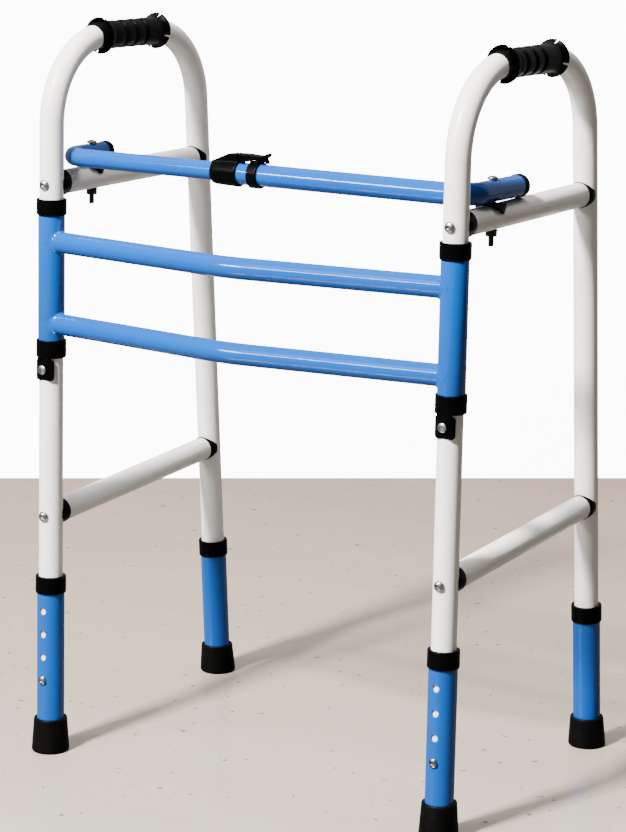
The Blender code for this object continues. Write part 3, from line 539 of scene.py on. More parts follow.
def finish_of(name, colour, dust_colour, rough, shade, dust, grain, depth, metallic=0.0, coat=0.0,
              coat_rough=0.05, specular=0.5, groove=1.0):
    """Principled material whose colour, roughness and grain come from the shared groups.

    rough holds the smoothest and the roughest value. grain holds the scales of the fine and the
    coarse grain and the fine one's share, and depth is their height. Where a piece's own "groove"
    attribute is one, the colour is dimmed to the groove share: painted shade in grooves and recesses.
    """
    made, tree, shader, place = new_finish(name)
    made.diffuse_color = (*colour, 1.0)
    surface = node(tree, "Group", node_tree=bpy.data.node_groups["surface_variation"])
    relief = node(tree, "Group", node_tree=bpy.data.node_groups["grain_height"])
    bump = node(tree, "Bump", {"Strength": 1.0, "Distance": depth, "Height": relief.outputs["Height"]})
    seen = surface.outputs["Colour"]
    # Painted shade: where the "groove" attribute is set, the colour is darkened towards groove times the colour
    if groove < 1.0:
        painted_shade = node(tree, "Attribute", attribute_name="groove").outputs["Fac"]
        seen = blend(tree, painted_shade, seen, scaled(colour, groove))
    for target, values in (
            (surface, {"Position": place, "Colour": colour, "Dust Colour": dust_colour, "Shade": shade,
                       "Dust": dust, "Smooth": rough[0], "Rough": rough[1]}),
            (relief, {"Position": place, "Fine": grain[0], "Coarse": grain[1], "Share": grain[2]}),
            (shader, {"Base Color": seen, "Roughness": surface.outputs["Roughness"],
                      "Normal": bump.outputs["Normal"], "Metallic": metallic, "Coat Weight": coat,
                      "Coat Roughness": coat_rough, "Specular IOR Level": specular})):
        for label, value in values.items():
            put(tree, target.inputs[label], value)


class WALKER_OT_finishes(bpy.types.Operator):
    """Make the finishes and give them to the CAD nodes"""

    bl_idname = "walker.finishes"
    bl_label = "Finishes"

    def execute(self, context):
        c = context.scene.walker_colours
        powder, metal = (1400.0, 420.0, 0.3), (2500.0, 600.0, 0.5)
        make_groups()
        finish_of("white_coat", tuple(c.white), (0.66, 0.62, 0.56), rough=(0.32, 0.42), shade=0.025,
                  dust=0.03, grain=powder, depth=c.peel, coat=0.2, coat_rough=0.14, specular=0.3)
        finish_of("blue_coat", tuple(c.blue), (0.001, 0.07, 0.34), rough=(0.36, 0.44), shade=0.05,
                  dust=0.01, grain=powder, depth=c.peel, coat=1.0, coat_rough=0.12, specular=0.0)
        finish_of("satin_plastic", tuple(c.black), (0.003, 0.003, 0.003), rough=(0.26, 0.38), shade=0.2,
                  dust=0.05, grain=(3200.0, 900.0, 0.6), depth=0.02 * MM, specular=0.035)
        # The grip's groove=0.15 is its painted shade: the colour it is dimmed to in its grooves, bells and ends
        finish_of("ribbed_grip", tuple(c.rubber), (0.0035, 0.0035, 0.0032), rough=(0.26, 0.4), shade=0.2,
                  dust=c.dust * 0.3, grain=(2600.0, 700.0, 0.6), depth=0.03 * MM, specular=0.07, groove=0.15)
        finish_of("foot_rubber_worn", tuple(c.rubber), (0.006, 0.006, 0.0055), rough=(0.4, 0.56),
                  shade=0.25, dust=c.dust, grain=(2200.0, 500.0, 0.5), depth=0.05 * MM, specular=0.05)
        finish_of("dark_thread", (0.045, 0.04, 0.035), (0.12, 0.09, 0.06), rough=(0.35, 0.5), shade=0.3,
                  dust=0.2, grain=metal, depth=0.02 * MM, metallic=1.0)
        finish_of("zinc_plate", tuple(c.steel), (0.2, 0.18, 0.15), rough=(0.24, 0.4), shade=0.2,
                  dust=0.1, grain=metal, depth=0.012 * MM, metallic=1.0)
        by_slot = {slot: coat for coat, slot in SLOTS.items()}
        for part in frame["record"]["subparts"]:
            coat = bpy.data.materials[by_slot[part["material_slot"]]]
            for holder in frame["nodes"][part["node"]].material_slots:
                holder.material = coat
        return {"FINISHED"}


# Tubes, rails and their screws

class WALKER_OT_side_tubes(bpy.types.Operator):
    """Build the white inverted U tubes"""

    bl_idname = "walker.side_tubes"
    bl_label = "Side tubes"

    def execute(self, context):
        radius = context.scene.walker_sizes.leg_radius
        for x, side in SIDES:
            points, ways = side_path(x, 40)
            piece("white_side_tube_" + side, [skin(carried(points, ways, ACROSS, radius, 72))],
                  "white_coat", side + "_side", ["side_frame_tube_" + side])
        return {"FINISHED"}


class WALKER_OT_side_rails(bpy.types.Operator):
    """Build the white rails between the legs"""

    bl_idname = "walker.side_rails"
    bl_label = "Side rails"

    def execute(self, context):
        radius = context.scene.walker_sizes.leg_radius
        bore = radius - 1.4 * MM
        for side, level, start, end, along in each_rail():
            low, high = radius + FRONT_CAP, np.linalg.norm(end - start) - radius - REAR_CAP
            rail = lathe([(bore, low, 0.0), (radius, low, 0.4 * MM), (radius, high, 0.4 * MM),
                          (bore, high, 0.0)], 4, start, along, 64, loop=False)
            piece("white_" + level + "_rail_" + side, [rail], "white_coat", side + "_side",
                  [level + "_rail_" + side])
        return {"FINISHED"}


def saddle_start(angles, radius, leg_radius, along, leg_axis):
    """Distance from a leg's axis at which a ring round a crossing bar meets the leg.

    A point s along the bar, l across it and u above it lies on the leg where the part of
    s * along + u * over that is square to the leg's axis, and l, make up the leg's radius.
    """
    over = np.cross(along, ACROSS)
    across, above = radius * np.cos(angles), radius * np.sin(angles)
    square = np.cross(leg_axis, ACROSS)
    reach = np.sqrt(np.maximum(leg_radius ** 2 - across ** 2, (3.0 * MM) ** 2))
    return (np.sign(along @ square) * reach - above * (over @ square)) / (along @ square)


class WALKER_OT_rail_caps(bpy.types.Operator):
    """Build the black caps between the rails and the legs"""

    bl_idname = "walker.rail_caps"
    bl_label = "Rail caps"

    def execute(self, context):
        leg = context.scene.walker_sizes.leg_radius
        rim, plug, root = leg + 0.8 * MM, leg - 2.0 * MM, 4.0 * MM
        a = turns(96)
        for side, level, place, origin, way, axis in rail_ends():
            around = spokes(a, ACROSS, np.cross(way, ACROSS))
            high = leg + (FRONT_CAP if place == "front" else REAR_CAP) - GAP
            rows = [origin + way * (saddle_start(a, r, leg + GAP, way, axis) + lift)[:, None] + around * r
                    for r, lift in ((root, 0.0), (8.0 * MM, 0.0), (11.0 * MM, 0.0), (rim - 0.5 * MM, 0.0),
                                    (rim - 0.15 * MM, 0.15 * MM), (rim, 0.5 * MM))]
            rows += [origin + way * s + around * r
                     for r, s in ((rim, high - 0.5 * MM), (rim - 0.15 * MM, high - 0.15 * MM),
                                  (rim - 0.5 * MM, high), (plug, high), (plug, high + 15.0 * MM),
                                  (root, high + 15.0 * MM))]
            name = place + "_" + level + "_" + side
            piece("cap_" + name, [skin(np.stack(rows))], "satin_plastic", side + "_side",
                  ["rail_cap_" + name])
        return {"FINISHED"}


def screw_head(seat, way, radius, height, recess, depth, shank, shank_radius):
    """Domed head on a shank, with a recess pressed into it.

    Height over the seat at distance p from the middle is h * (1 - (p / r)^2 / 2), less the recess
    where the point lies inside a cross or a hexagon.
    """
    a = turns(96)
    p = np.concatenate([np.linspace(0.02, 0.62, 26), np.linspace(0.66, 0.96, 8)]) * radius
    x, y = p[:, None] * np.cos(a), p[:, None] * np.sin(a)
    if recess == "cross":
        arm = 0.56 * radius
        wide = 0.13 * radius * (1.0 - 0.35 * np.hypot(x, y) / arm)
        inside = np.minimum(np.maximum(wide - np.abs(x), wide - np.abs(y)), arm - np.hypot(x, y))
    else:
        faces = [np.abs(x * math.cos(t) + y * math.sin(t)) for t in (0.0, np.pi / 3.0, 2.0 * np.pi / 3.0)]
        inside = 0.42 * radius - np.maximum.reduce(faces)
    sink = np.clip(inside / (0.045 * radius) + 0.5, 0.0, 1.0) * depth
    dome = GAP + height * (1.0 - 0.5 * (p / radius) ** 2)[:, None]
    around = spokes(a, *square_to(way))
    top = seat + (dome - sink)[:, :, None] * way + p[:, None, None] * around[None]
    edge = GAP + 0.5 * height
    rim = rounded([(radius * 0.97, edge + 0.02 * height, 0.0), (radius, edge - 0.1 * height, 0.15 * height),
                   (radius, GAP, 0.1 * height), (shank_radius, GAP, 0.0), (shank_radius, -shank, 0.0)], 4)
    return skin(np.concatenate([top, turned(rim[1:], seat, way, 96)]))


def washer(bore, rim, low, high, fillets, origin, way, columns):
    """Flat ring whose outer edges have a fillet each."""
    return lathe([(bore, low, 0.0), (rim, low, fillets[0]), (rim, high, fillets[1]), (bore, high, 0.0)],
                 4, origin, way, columns)


class WALKER_OT_rail_screws(bpy.types.Operator):
    """Build the screws that hold the rails to the legs"""

    bl_idname = "walker.rail_screws"
    bl_label = "Rail screws"

    def execute(self, context):
        leg = context.scene.walker_sizes.leg_radius
        for side, level, place, origin, way, axis in rail_ends():
            seat = origin - way * (leg + 5.6 * MM * abs(way @ axis))
            head = screw_head(seat - way * 0.1 * MM, -way, 4.9 * MM, 3.4 * MM, "hexagon", 2.0 * MM,
                              2.0 * leg + 8.0 * MM, 2.95 * MM)
            under = washer(3.1 * MM, 5.5 * MM, -0.5 * MM, 0.35 * MM, (0.1 * MM, 0.15 * MM), seat, -way, 64)
            name = place + "_" + level + "_" + side
            piece("screw_" + name, [head, under], "zinc_plate", side + "_side", ["rail_screw_" + name])
        return {"FINISHED"}


# Front frame

def bar_with_fillets(points, ways, radius, sleeve, fillet):
    """Cross bar whose ends flare into the sleeves by a concave fillet.

    At distance d from the joint the radius is r + f - sqrt(f^2 - (f - d)^2), and the ring starts
    where a ring of that radius would meet the sleeve.
    """
    a = turns(64)
    d = np.linspace(0.0, 1.0, 7) ** 1.5 * fillet
    r = radius + fillet - np.sqrt(np.maximum(fillet ** 2 - (fillet - d) ** 2, 0.0))
    across = r[:, None] * np.cos(a)[None]
    start = np.sqrt(np.maximum(sleeve ** 2 - across ** 2, (2.0 * MM) ** 2)) - 0.25 * MM
    ends = []
    for point, way, onward in ((points[0], ways[0], ways[0]), (points[-1], -ways[-1], ways[-1])):
        around = spokes(a, np.cross(onward, UP), UP)
        ends.append(point + (start + d[:, None])[:, :, None] * way + r[:, None, None] * around[None])
    middle = carried(points[1:-1], ways[1:-1], UP, radius)
    return np.concatenate([ends[0], middle, ends[1][::-1]])


class WALKER_OT_front_frame(bpy.types.Operator):
    """Build the blue sleeves and the two bowed cross bars"""

    bl_idname = "walker.front_frame"
    bl_label = "Front frame"

    def execute(self, context):
        sizes = context.scene.walker_sizes
        outer = sizes.sleeve_radius
        inner = outer - 1.0 * MM
        shells = [lathe([(inner, SLEEVE_BOTTOM, 0.2 * MM), (outer, SLEEVE_BOTTOM, 0.3 * MM),
                         (outer, SLEEVE_TOP, 0.3 * MM), (inner, SLEEVE_TOP, 0.2 * MM)],
                        3, at(x, 0.0, 0.0), UP, 80) for x, _ in SIDES]
        for height in CROSS_HEIGHTS:
            knots = ((-HALF_WIDTH, 0.0), (0.0, -CROSS_BOW), (HALF_WIDTH, 0.0))
            path = bent_path([at(x, back, height) for x, back in knots], (CROSS_BEND,))
            shells.append(skin(bar_with_fillets(*path, sizes.cross_radius, outer, sizes.weld_radius)))
        piece("blue_front_frame", shells, "blue_coat", "front_frame", ["front_frame"])
        return {"FINISHED"}


class WALKER_OT_bushes(bpy.types.Operator):
    """Build the black rings at the top of the sleeves"""

    bl_idname = "walker.bushes"
    bl_label = "Sleeve bushes"

    def execute(self, context):
        sizes = context.scene.walker_sizes
        cup, bore, rim = sizes.sleeve_radius + GAP, sizes.leg_radius + GAP, sizes.ring_radius
        low, step = SLEEVE_TOP - 10.0 * MM, SLEEVE_TOP + GAP
        corners = [
            (cup, low, 0.1 * MM), (rim - 0.7 * MM, low, 0.5 * MM), (rim, low + 2.2 * MM, 1.4 * MM),
            (rim, BUSH_TOP, 0.7 * MM), (bore + 0.6 * MM, BUSH_TOP, 0.4 * MM),
            (bore, BUSH_TOP - 0.8 * MM, 0.2 * MM), (bore, step, 0.1 * MM), (cup, step, 0.1 * MM)]
        for x, side in SIDES:
            piece("bush_ring_" + side, [lathe(corners, 6, at(x, 0.0, 0.0), UP, 80)], "satin_plastic",
                  "front_frame", ["sleeve_bush_" + side])
        return {"FINISHED"}


def curved_plate(outline, centre, radius_in, radius_out, origin, edge):
    """Plate bent round the leg's axis from an outline in (x, z).

    Rings shrink from the outline to its middle. The edge rounds over a quarter circle, and a point
    at x lies at the angle whose sine is x over the plate's outer radius, on the front of the leg.
    """
    half = np.abs(outline[:, 0]).max()
    quarter = np.linspace(0.0, np.pi / 2.0, 5)
    shares = (0.06, 0.25, 0.5, 0.75)
    levels = [(share, radius_in) for share in (*shares, 1.0)]
    levels += [(1.0 - edge * (1.0 - math.cos(q)) / half, radius_out - edge + edge * math.sin(q))
               for q in quarter]
    levels += [(share, radius_out) for share in shares[::-1]]
    grid = []
    for share, height in levels:
        flat = centre + (outline - centre) * share
        angle = np.arcsin(np.clip(flat[:, 0] / radius_out, -1.0, 1.0))
        grid.append(origin + flat[:, 1:2] * UP + spokes(angle, -BACK, ACROSS) * height)
    return skin(np.stack(grid))


class WALKER_OT_stop_collars(bpy.types.Operator):
    """Build the cups under the sleeves with their screwed lugs"""

    bl_idname = "walker.stop_collars"
    bl_label = "Stop collars"

    def execute(self, context):
        sizes = context.scene.walker_sizes
        cup, bore, rim = sizes.sleeve_radius + GAP, sizes.leg_radius + GAP, sizes.ring_radius
        lip = SLEEVE_BOTTOM - GAP
        corners = [
            (bore, COLLAR_BOTTOM, 0.2 * MM), (rim, COLLAR_BOTTOM, 1.2 * MM), (rim, COLLAR_TOP, 0.7 * MM),
            (cup, COLLAR_TOP, 0.2 * MM), (cup, lip, 0.1 * MM), (bore, lip, 0.1 * MM)]
        waist = LUG_HALF - 3.0 * MM
        notch = COLLAR_BOTTOM - 1.6 * MM
        right = [(LUG_HALF, LUG_BOTTOM, 3.4 * MM), (LUG_HALF, notch - 1.0 * MM, 1.3 * MM),
                 (waist, notch + 0.6 * MM, 0.9 * MM), (waist, COLLAR_BOTTOM + 2.5 * MM, 0.2 * MM)]
        outline = rounded(right + [(-w, z, fillet) for w, z, fillet in right[::-1]], 8, loop=True)
        middle = np.array([0.0, LUG_SCREW])
        for x, side in SIDES:
            origin = at(x, 0.0, 0.0)
            plate = curved_plate(outline, middle, bore, rim - 0.2 * MM, origin, 0.7 * MM)
            piece("collar_cup_" + side, [lathe(corners, 5, origin, UP, 80), plate], "satin_plastic",
                  side + "_side", ["stop_collar_" + side])
            screw = screw_head(at(x, -rim + 0.1 * MM, LUG_SCREW), -BACK, 4.9 * MM, 2.3 * MM, "cross",
                               1.5 * MM, 6.0 * MM, 2.9 * MM)
            piece("collar_screw_head_" + side, [screw], "zinc_plate", side + "_side",
                  ["stop_collar_screw_" + side])
        return {"FINISHED"}


# Grips

def slit_columns(slits, half_turn):
    """Column angles evenly round, a close pair at each edge of a slit, and which of them lie in a slit."""
    def away(angles, marks):
        """Angle from each column to the nearest mark."""
        return np.abs((angles[:, None] - marks[None] + np.pi) % (2.0 * np.pi) - np.pi).min(1)

    edges = np.concatenate([[slit - half_turn, slit + half_turn] for slit in slits])
    tight, clear = 0.006, 0.02
    pairs = np.concatenate([edges - tight, edges + tight])
    even = turns(112)
    kept = even[away(even, edges) > clear]
    angles = np.unique(np.round(np.concatenate([kept, pairs]) % (2.0 * np.pi), 9))
    return angles, away(angles, slits) < half_turn


def round_handle(x, s, radius, angles, steps=60):
    """Points at distance s along the bent handle from the grip's middle and at a radius square to it."""
    points, ways = side_path(x, steps)
    lengths = np.concatenate([[0.0], np.cumsum(np.linalg.norm(np.diff(points, axis=0), axis=1))])
    where = lengths[steps] + (at(x, GRIP_BACK, HANDLE) - points[steps]) @ ways[steps] + s
    axis, way = (np.stack([np.interp(where, lengths, v[:, k]) for k in range(3)], -1) for v in (points, ways))
    over = np.cross(way, ACROSS)
    over /= np.linalg.norm(over, axis=-1)[..., None]
    return axis + radius[..., None] * spokes(angles, over, ACROSS)


class WALKER_OT_grips(bpy.types.Operator):
    """Build the ribbed grips with their slit, flared ends"""

    bl_idname = "walker.grips"
    bl_label = "Grips"

    def execute(self, context):
        sizes = context.scene.walker_sizes
        for x, side in SIDES:
            # painted shade share for each point of the grid: it dims the grip's colour in its grooves, bells and
            # ends
            grid, painted_shade = self.surface(x, FIRST_GROOVE[side] - GRIP_HALF, sizes)
            piece("ribbed_grip_" + side, [skin(grid, loop=True)], "ribbed_grip", side + "_side",
                  ["grip_" + side], sharp=50.0, groove=painted_shade)
        return {"FINISHED"}

    def surface(self, x, first, sizes):
        """Grid of the outside, the inside, the neck lip and the front bell, and the share of painted shade on it.

        The outside is r - g * dip + (flange - r) * f^2.2: dip is exp(-|d / 3.6 mm|^3) at distance d
        from each of the three grooves, and f grows from 0 to 1 along the skirt at both ends. Both
        bells open from the bore by a power of the way to the rim. In a slit the rows end earlier.
        """
        bore = sizes.leg_radius + GAP
        neck, bell = bore + 1.1 * MM, sizes.flange_radius - 1.5 * MM
        angles, cut = slit_columns(np.pi * (np.arange(4) / 2.0 - 0.09), 0.058)
        all_round = np.ones(len(angles))
        reach = GRIP_HALF - np.where(cut, SLIT_DEPTH, 0.0)

        barrel = GRIP_HALF - GRIP_SKIRT
        skirt = barrel + (reach - barrel) * np.linspace(0.0, 1.0, 14)[:, None]
        middle = np.linspace(-barrel, barrel, 150)[1:-1, None] * all_round
        outside = np.concatenate([-skirt[::-1], middle, skirt])
        away = outside[..., None] - first - GROOVE_PITCH * np.arange(3)
        dip = np.exp(-np.abs(away / (3.6 * MM)) ** 3.0).sum(-1)
        waist = 0.3 * MM * np.exp(-((outside + GRIP_HALF - 10.0 * MM) / (4.0 * MM)) ** 2)
        flare = np.clip((np.abs(outside) - barrel) / GRIP_SKIRT, 0.0, 1.0)
        outside_r = (sizes.grip_radius - sizes.groove_depth * dip - waist
                     + (sizes.flange_radius - sizes.grip_radius) * flare ** 2.2)

        lip_end = -GRIP_HALF - NECK_LIP
        inside = np.concatenate([skirt[::-1], np.linspace(barrel, lip_end, 70)[1:, None] * all_round])
        opening = np.clip((inside - GRIP_HALF + 8.0 * MM) / (8.0 * MM), 0.0, 1.0)
        inside_r = bore + (bell - bore) * opening ** 1.8

        lip = [(lip_end - 0.4 * MM, bore + 0.3 * MM), (lip_end - 0.4 * MM, bore + 0.8 * MM)]
        lip += [(s, neck) for s in np.linspace(lip_end, -GRIP_HALF + 4.3 * MM, 18)]
        lip, lip_r = (np.array(row)[:, None] * all_round for row in zip(*lip))

        root = GRIP_HALF - 4.0 * MM
        share = np.linspace(0.0, 1.0, 10)[:, None]
        front = -(root + (reach - root) * share)
        front_r = neck + np.where(cut, 0.4 * MM, bell - neck) * share ** 1.5

        grid = round_handle(x, np.concatenate([outside, inside, lip, front]),
                            np.concatenate([outside_r, inside_r, lip_r, front_r]), angles)
        # Painted shade: the groove dips, three quarters at the rear end of the outside, and fixed shares inside
        # the bells, on the neck lip and on the front bell
        rear = 0.75 * np.clip((outside - GRIP_HALF + 11.0 * MM) / (5.0 * MM), 0.0, 1.0)
        others = [np.full_like(rows, painted_shade) for rows, painted_shade in ((inside, 0.9), (lip, 0.3), (front, 0.7))]
        return grid, np.concatenate([np.maximum(dip, rear), *others])


# Leg extensions

def holed_tube(origin, axis, out, radius, wall, low, high, holes, hole_radius):
    """Tube with round holes on one side, thickened from a sheet in (u, z), u being the arc round the tube.

    Around each hole a square patch runs from the square's edge to the circle by straight mixing:
    point = (1 - w) * edge + w * circle.
    """
    half, steps, columns = 6.6 * MM, 8, 44
    z, blocks = [low], []
    for hole in holes:
        blocks.append(len(z))
        z.extend(np.linspace(hole - half, hole + half, steps + 1))
    z.append(high)
    u = np.linspace(-half, half, steps + 1)
    flat = np.stack(np.meshgrid(z, u, indexing="ij")[::-1], -1).reshape(-1, 2)
    number = np.arange(len(flat)).reshape(len(z), steps + 1)
    cells = np.stack([number[:-1, :-1], number[:-1, 1:], number[1:, 1:], number[1:, :-1]], -1)
    keep = np.ones(cells.shape[:2], bool)
    points, quads, count = [flat], [], len(flat)
    for hole, row in zip(holes, blocks):
        keep[row:row + steps] = False
        block = number[row:row + steps + 1]
        edge = np.concatenate([block[0, :-1], block[:-1, -1], block[-1, :0:-1], block[:0:-1, 0]])
        middle = np.array([0.0, hole])
        spread = flat[edge] - middle
        circle = middle + hole_radius * spread / np.linalg.norm(spread, axis=1)[:, None]
        last = edge
        for w in (0.3, 0.6, 0.85, 1.0):
            points.append((1.0 - w) * flat[edge] + w * circle)
            ring = count + np.arange(len(edge))
            count += len(edge)
            quads.append(np.stack([last, np.roll(last, -1), np.roll(ring, -1), ring], -1))
            last = ring
    quads.append(cells[keep])
    wide = np.linspace(half, 2.0 * np.pi * radius - half, columns)[1:-1]
    points.append(np.stack(np.meshgrid(z, wide, indexing="ij")[::-1], -1).reshape(-1, 2))
    inner = count + np.arange(len(z) * len(wide)).reshape(len(z), len(wide))
    band = np.concatenate([number[:, -1:], inner, number[:, :1]], 1)
    quads.append(np.stack([band[:-1, :-1], band[:-1, 1:], band[1:, 1:], band[1:, :-1]], -1).reshape(-1, 4))
    sheet = np.concatenate(points)
    around = spokes(sheet[:, 0] / radius, out, ACROSS)
    level = origin + sheet[:, 1:2] * axis
    return sheet_shell(level + around * radius, level + around * (radius - wall), np.concatenate(quads))


def rubber_foot(origin, axis, wide, tall):
    """Tapered foot whose level rings follow the leaning leg, with two rings in its sole."""
    cup, sole, floor = wide + GAP, 1.6 * MM, 8.0 * MM
    profile = rounded([
        (3.0 * MM, sole, 0.0), (6.0 * MM, sole, 0.3 * MM), (6.6 * MM, 0.0, 0.4 * MM),
        (11.0 * MM, 0.0, 0.4 * MM), (11.6 * MM, sole, 0.3 * MM), (13.6 * MM, sole, 0.3 * MM),
        (14.2 * MM, 0.0, 0.4 * MM), (20.4 * MM, 0.0, 2.4 * MM), (17.8 * MM, tall, 2.0 * MM),
        (cup, tall, 0.5 * MM), (cup, floor, 0.5 * MM), (2.0 * MM, floor, 0.0)], 6)
    lean = np.array([0.0, axis[1] / axis[2], 0.0])
    return skin(turned(profile, origin, np.array([0.0, 0.0, 1.0]), 80, lean))


class WALKER_OT_leg_extensions(bpy.types.Operator):
    """Build the blue leg extensions with their rings, height screws and rubber feet"""

    bl_idname = "walker.leg_extensions"
    bl_label = "Leg extensions"

    def execute(self, context):
        sizes = context.scene.walker_sizes
        wide, leg = sizes.extension_radius, sizes.leg_radius
        cup, bore, rim = wide + 0.2 * MM, leg + GAP, sizes.collar_radius
        for x, side in SIDES:
            for place, origin, axis, out, low, high, first, tall in (
                    ("front", at(x, 0.0, 0.0), UP, -BACK, 175.5 * MM, 194.0 * MM, 80.5 * MM, 37.0 * MM),
                    ("rear", rear_foot(x), REAR_UP, REAR_OUT, 142.4 * MM, 160.3 * MM, 47.4 * MM, 33.0 * MM)):
                top = high - 4.0 * MM
                tube = holed_tube(origin, axis, out, wide, wide - leg - 0.4 * MM, 9.2 * MM, top,
                                  [first + HOLE_PITCH * k for k in range(4)], 3.9 * MM)
                ring = lathe([(cup, low, 0.1 * MM), (rim, low, 0.9 * MM), (rim, high, 0.8 * MM),
                              (bore, high, 0.3 * MM), (bore, top + GAP, 0.1 * MM),
                              (cup, top + GAP, 0.1 * MM)], 5, origin, axis, 80)
                screw = screw_head(origin + axis * first + out * (wide - 0.15 * MM), out, 4.6 * MM,
                                   2.7 * MM, "hexagon", 1.6 * MM, 0.9 * MM, 3.5 * MM)
                foot = rubber_foot(origin, axis, wide, tall)
                for name, shell, coat, end in (
                        ("extension_tube_", tube, "blue_coat", "_extension"),
                        ("extension_ring_", ring, "satin_plastic", "_ring"),
                        ("height_screw_head_", screw, "zinc_plate", "_height_screw"),
                        ("rubber_foot_", foot, "foot_rubber_worn", "_foot")):
                    piece(name + place + "_" + side, [shell], coat, place + "_" + side + "_leg",
                          [place + "_leg_" + side + end])
        return {"FINISHED"}


# Top bar and pivots

class WALKER_OT_top_bar(bpy.types.Operator):
    """Build the thin rod, the wide tube that slides over it, and their end caps"""

    bl_idname = "walker.top_bar"
    bl_label = "Top bar"

    def execute(self, context):
        sizes = context.scene.walker_sizes
        for x, tail, end_x, radius, name, body in (
                (-HALF_WIDTH, ROD_TAIL, ROD_END, sizes.rod_radius, "top_rod", "bar_rod"),
                (HALF_WIDTH, TUBE_TAIL, MOUTH, sizes.bar_radius, "top_tube", "bar_tube")):
            corners = [bar_at(end_x, BAR_BACK), bar_at(x, BAR_BACK), bar_at(x, tail)]
            points, ways = bent_path(corners, (24.0 * MM,))
            outer = carried(points, ways, UP, radius, 72)
            inner = carried(points, ways, UP, radius - BAR_WALL, 72)
            piece("blue_" + name, [skin(np.concatenate([outer, inner[::-1]]), loop=True)], "blue_coat",
                  body, [name])
            plug, near, rim = radius - BAR_WALL - GAP, radius + 0.12 * MM, radius + 0.8 * MM
            seat, lip = 0.2 * MM, -3.4 * MM
            cap = lathe([(2.0 * MM, -12.0 * MM, 0.0), (plug, -12.0 * MM, 0.5 * MM), (plug, seat, 0.0),
                         (near, seat, 0.0), (near, lip, 0.1 * MM), (rim - 0.1 * MM, lip, 0.3 * MM),
                         (rim, 4.7 * MM, 1.4 * MM), (3.0 * MM, 4.8 * MM, 0.0)],
                        6, bar_at(x, tail), BACK, 72, loop=False)
            piece("bar_end_plug_" + name[4:], [cap], "satin_plastic", body, [name + "_end_cap"])
        return {"FINISHED"}


def threaded_end(origin, way, low, high, radius):
    """Screw thread: the radius falls by a triangle wave of z / pitch + a / turn, and tapers at the tip."""
    a = turns(40)
    z = np.arange(low, high, 0.12 * MM)
    wave = np.abs(((z[:, None] / MM + a[None] / (2.0 * np.pi)) % 1.0) - 0.5) * 2.0
    fade = np.clip((high - z) / (0.8 * MM), 0.0, 1.0)[:, None]
    r = (radius - 0.42 * MM * wave) * (0.75 + 0.25 * fade)
    return skin(origin + z[:, None, None] * way + r[:, :, None] * spokes(a, *square_to(way))[None])


def hexagon(origin, way, flat, low, high, bore):
    """Hexagon nut: r = flat / cos(a within its side), cut back to a circle at both faces."""
    a = turns(72)
    full = flat / np.cos((a + np.pi / 6.0) % (np.pi / 3.0) - np.pi / 6.0)
    around = spokes(a, *square_to(way))
    face, bevel = flat * 0.99, 0.7 * MM
    rows = ((bore, low), (face, low), (full, low + bevel), (full, high - bevel), (face, high), (bore, high))
    grid = [origin + way * h + around * (r + np.zeros(len(a)))[:, None] for r, h in rows]
    return skin(np.stack(grid), loop=True)


def saddle_wedge(rail, rail_radius, top):
    """Saddle between bar and rail: one outline in (back, up) carried across the rail.

    At distance l across, no point lies under sqrt(rail radius^2 - l^2), the rail's own surface,
    and the outline shrinks a little towards its middle at both ends.
    """
    outline = rounded([
        (-3.0 * MM, 4.0 * MM, 1.2 * MM), (1.6 * MM, 3.6 * MM, 0.5 * MM), (5.2 * MM, 8.3 * MM, 5.0 * MM),
        (6.4 * MM, top - 2.4 * MM, 1.0 * MM), (6.4 * MM, top, 0.5 * MM), (-14.4 * MM, top, 0.6 * MM),
        (-14.4 * MM, top - 1.8 * MM, 0.8 * MM), (-8.5 * MM, top - 6.0 * MM, 4.0 * MM)], 6, loop=True)
    middle = np.array([-2.0 * MM, 0.7 * top])
    half, edge = 13.0 * MM, 0.6 * MM
    tips = half - np.array([0.0, 0.15 * MM, edge])
    across = np.concatenate([-tips, np.linspace(-12.0, 12.0, 49) * MM, tips[::-1]])
    inset = np.clip(edge - (half - np.abs(across)), 0.0, None)
    share = 1.0 - 0.08 * (inset / edge) ** 2
    flat = middle + (outline - middle) * share[:, None, None]
    floor = np.sqrt(np.maximum(rail_radius ** 2 - across ** 2, 0.0))
    up = np.minimum(np.maximum(flat[:, :, 1], floor[:, None]), top)
    return skin(rail + across[:, None, None] * ACROSS + flat[:, :, :1] * BACK + up[:, :, None] * UP)


class WALKER_OT_pivots(bpy.types.Operator):
    """Build the saddles, bolts and nuts at both ends of the top bar"""

    bl_idname = "walker.pivots"
    bl_label = "Pivots"

    def execute(self, context):
        sizes = context.scene.walker_sizes
        under = sizes.leg_radius + GAP
        shank = 2.95 * MM
        for (x, side), radius in zip(SIDES, (sizes.rod_radius, sizes.bar_radius)):
            rail = bar_at(x, PIVOT_BACK, -BAR_RISE)
            top = BAR_RISE - radius - GAP
            piece("saddle_wedge_" + side, [saddle_wedge(rail, under, top)], "satin_plastic",
                  side + "_side", ["pivot_saddle_" + side])
            nut = [hexagon(rail, -UP, 5.0 * MM, under, under + 6.0 * MM, 3.2 * MM),
                   washer(3.3 * MM, 6.4 * MM, under - 0.6 * MM, under + 0.2 * MM, (0.2 * MM, 0.2 * MM),
                          rail, -UP, 56),
                   threaded_end(rail, -UP, under - 1.0 * MM, under + 16.0 * MM, 3.0 * MM)]
            if side == "left":
                body, depth = "left_side", BAR_RISE + radius + under
            else:
                body, depth = "bar_tube", 2.0 * radius
                nut.append(peg(shank, -under, top - GAP, rail, UP, 40))
            head = screw_head(bar_at(x, PIVOT_BACK, radius), UP, 5.3 * MM, 3.6 * MM, "hexagon", 2.0 * MM,
                              depth, shank)
            piece("bar_bolt_" + side, [head], "zinc_plate", body, ["pivot_bolt_" + side])
            piece("bar_nut_" + side, nut, "dark_thread", side + "_side", ["pivot_nut_" + side])
        return {"FINISHED"}


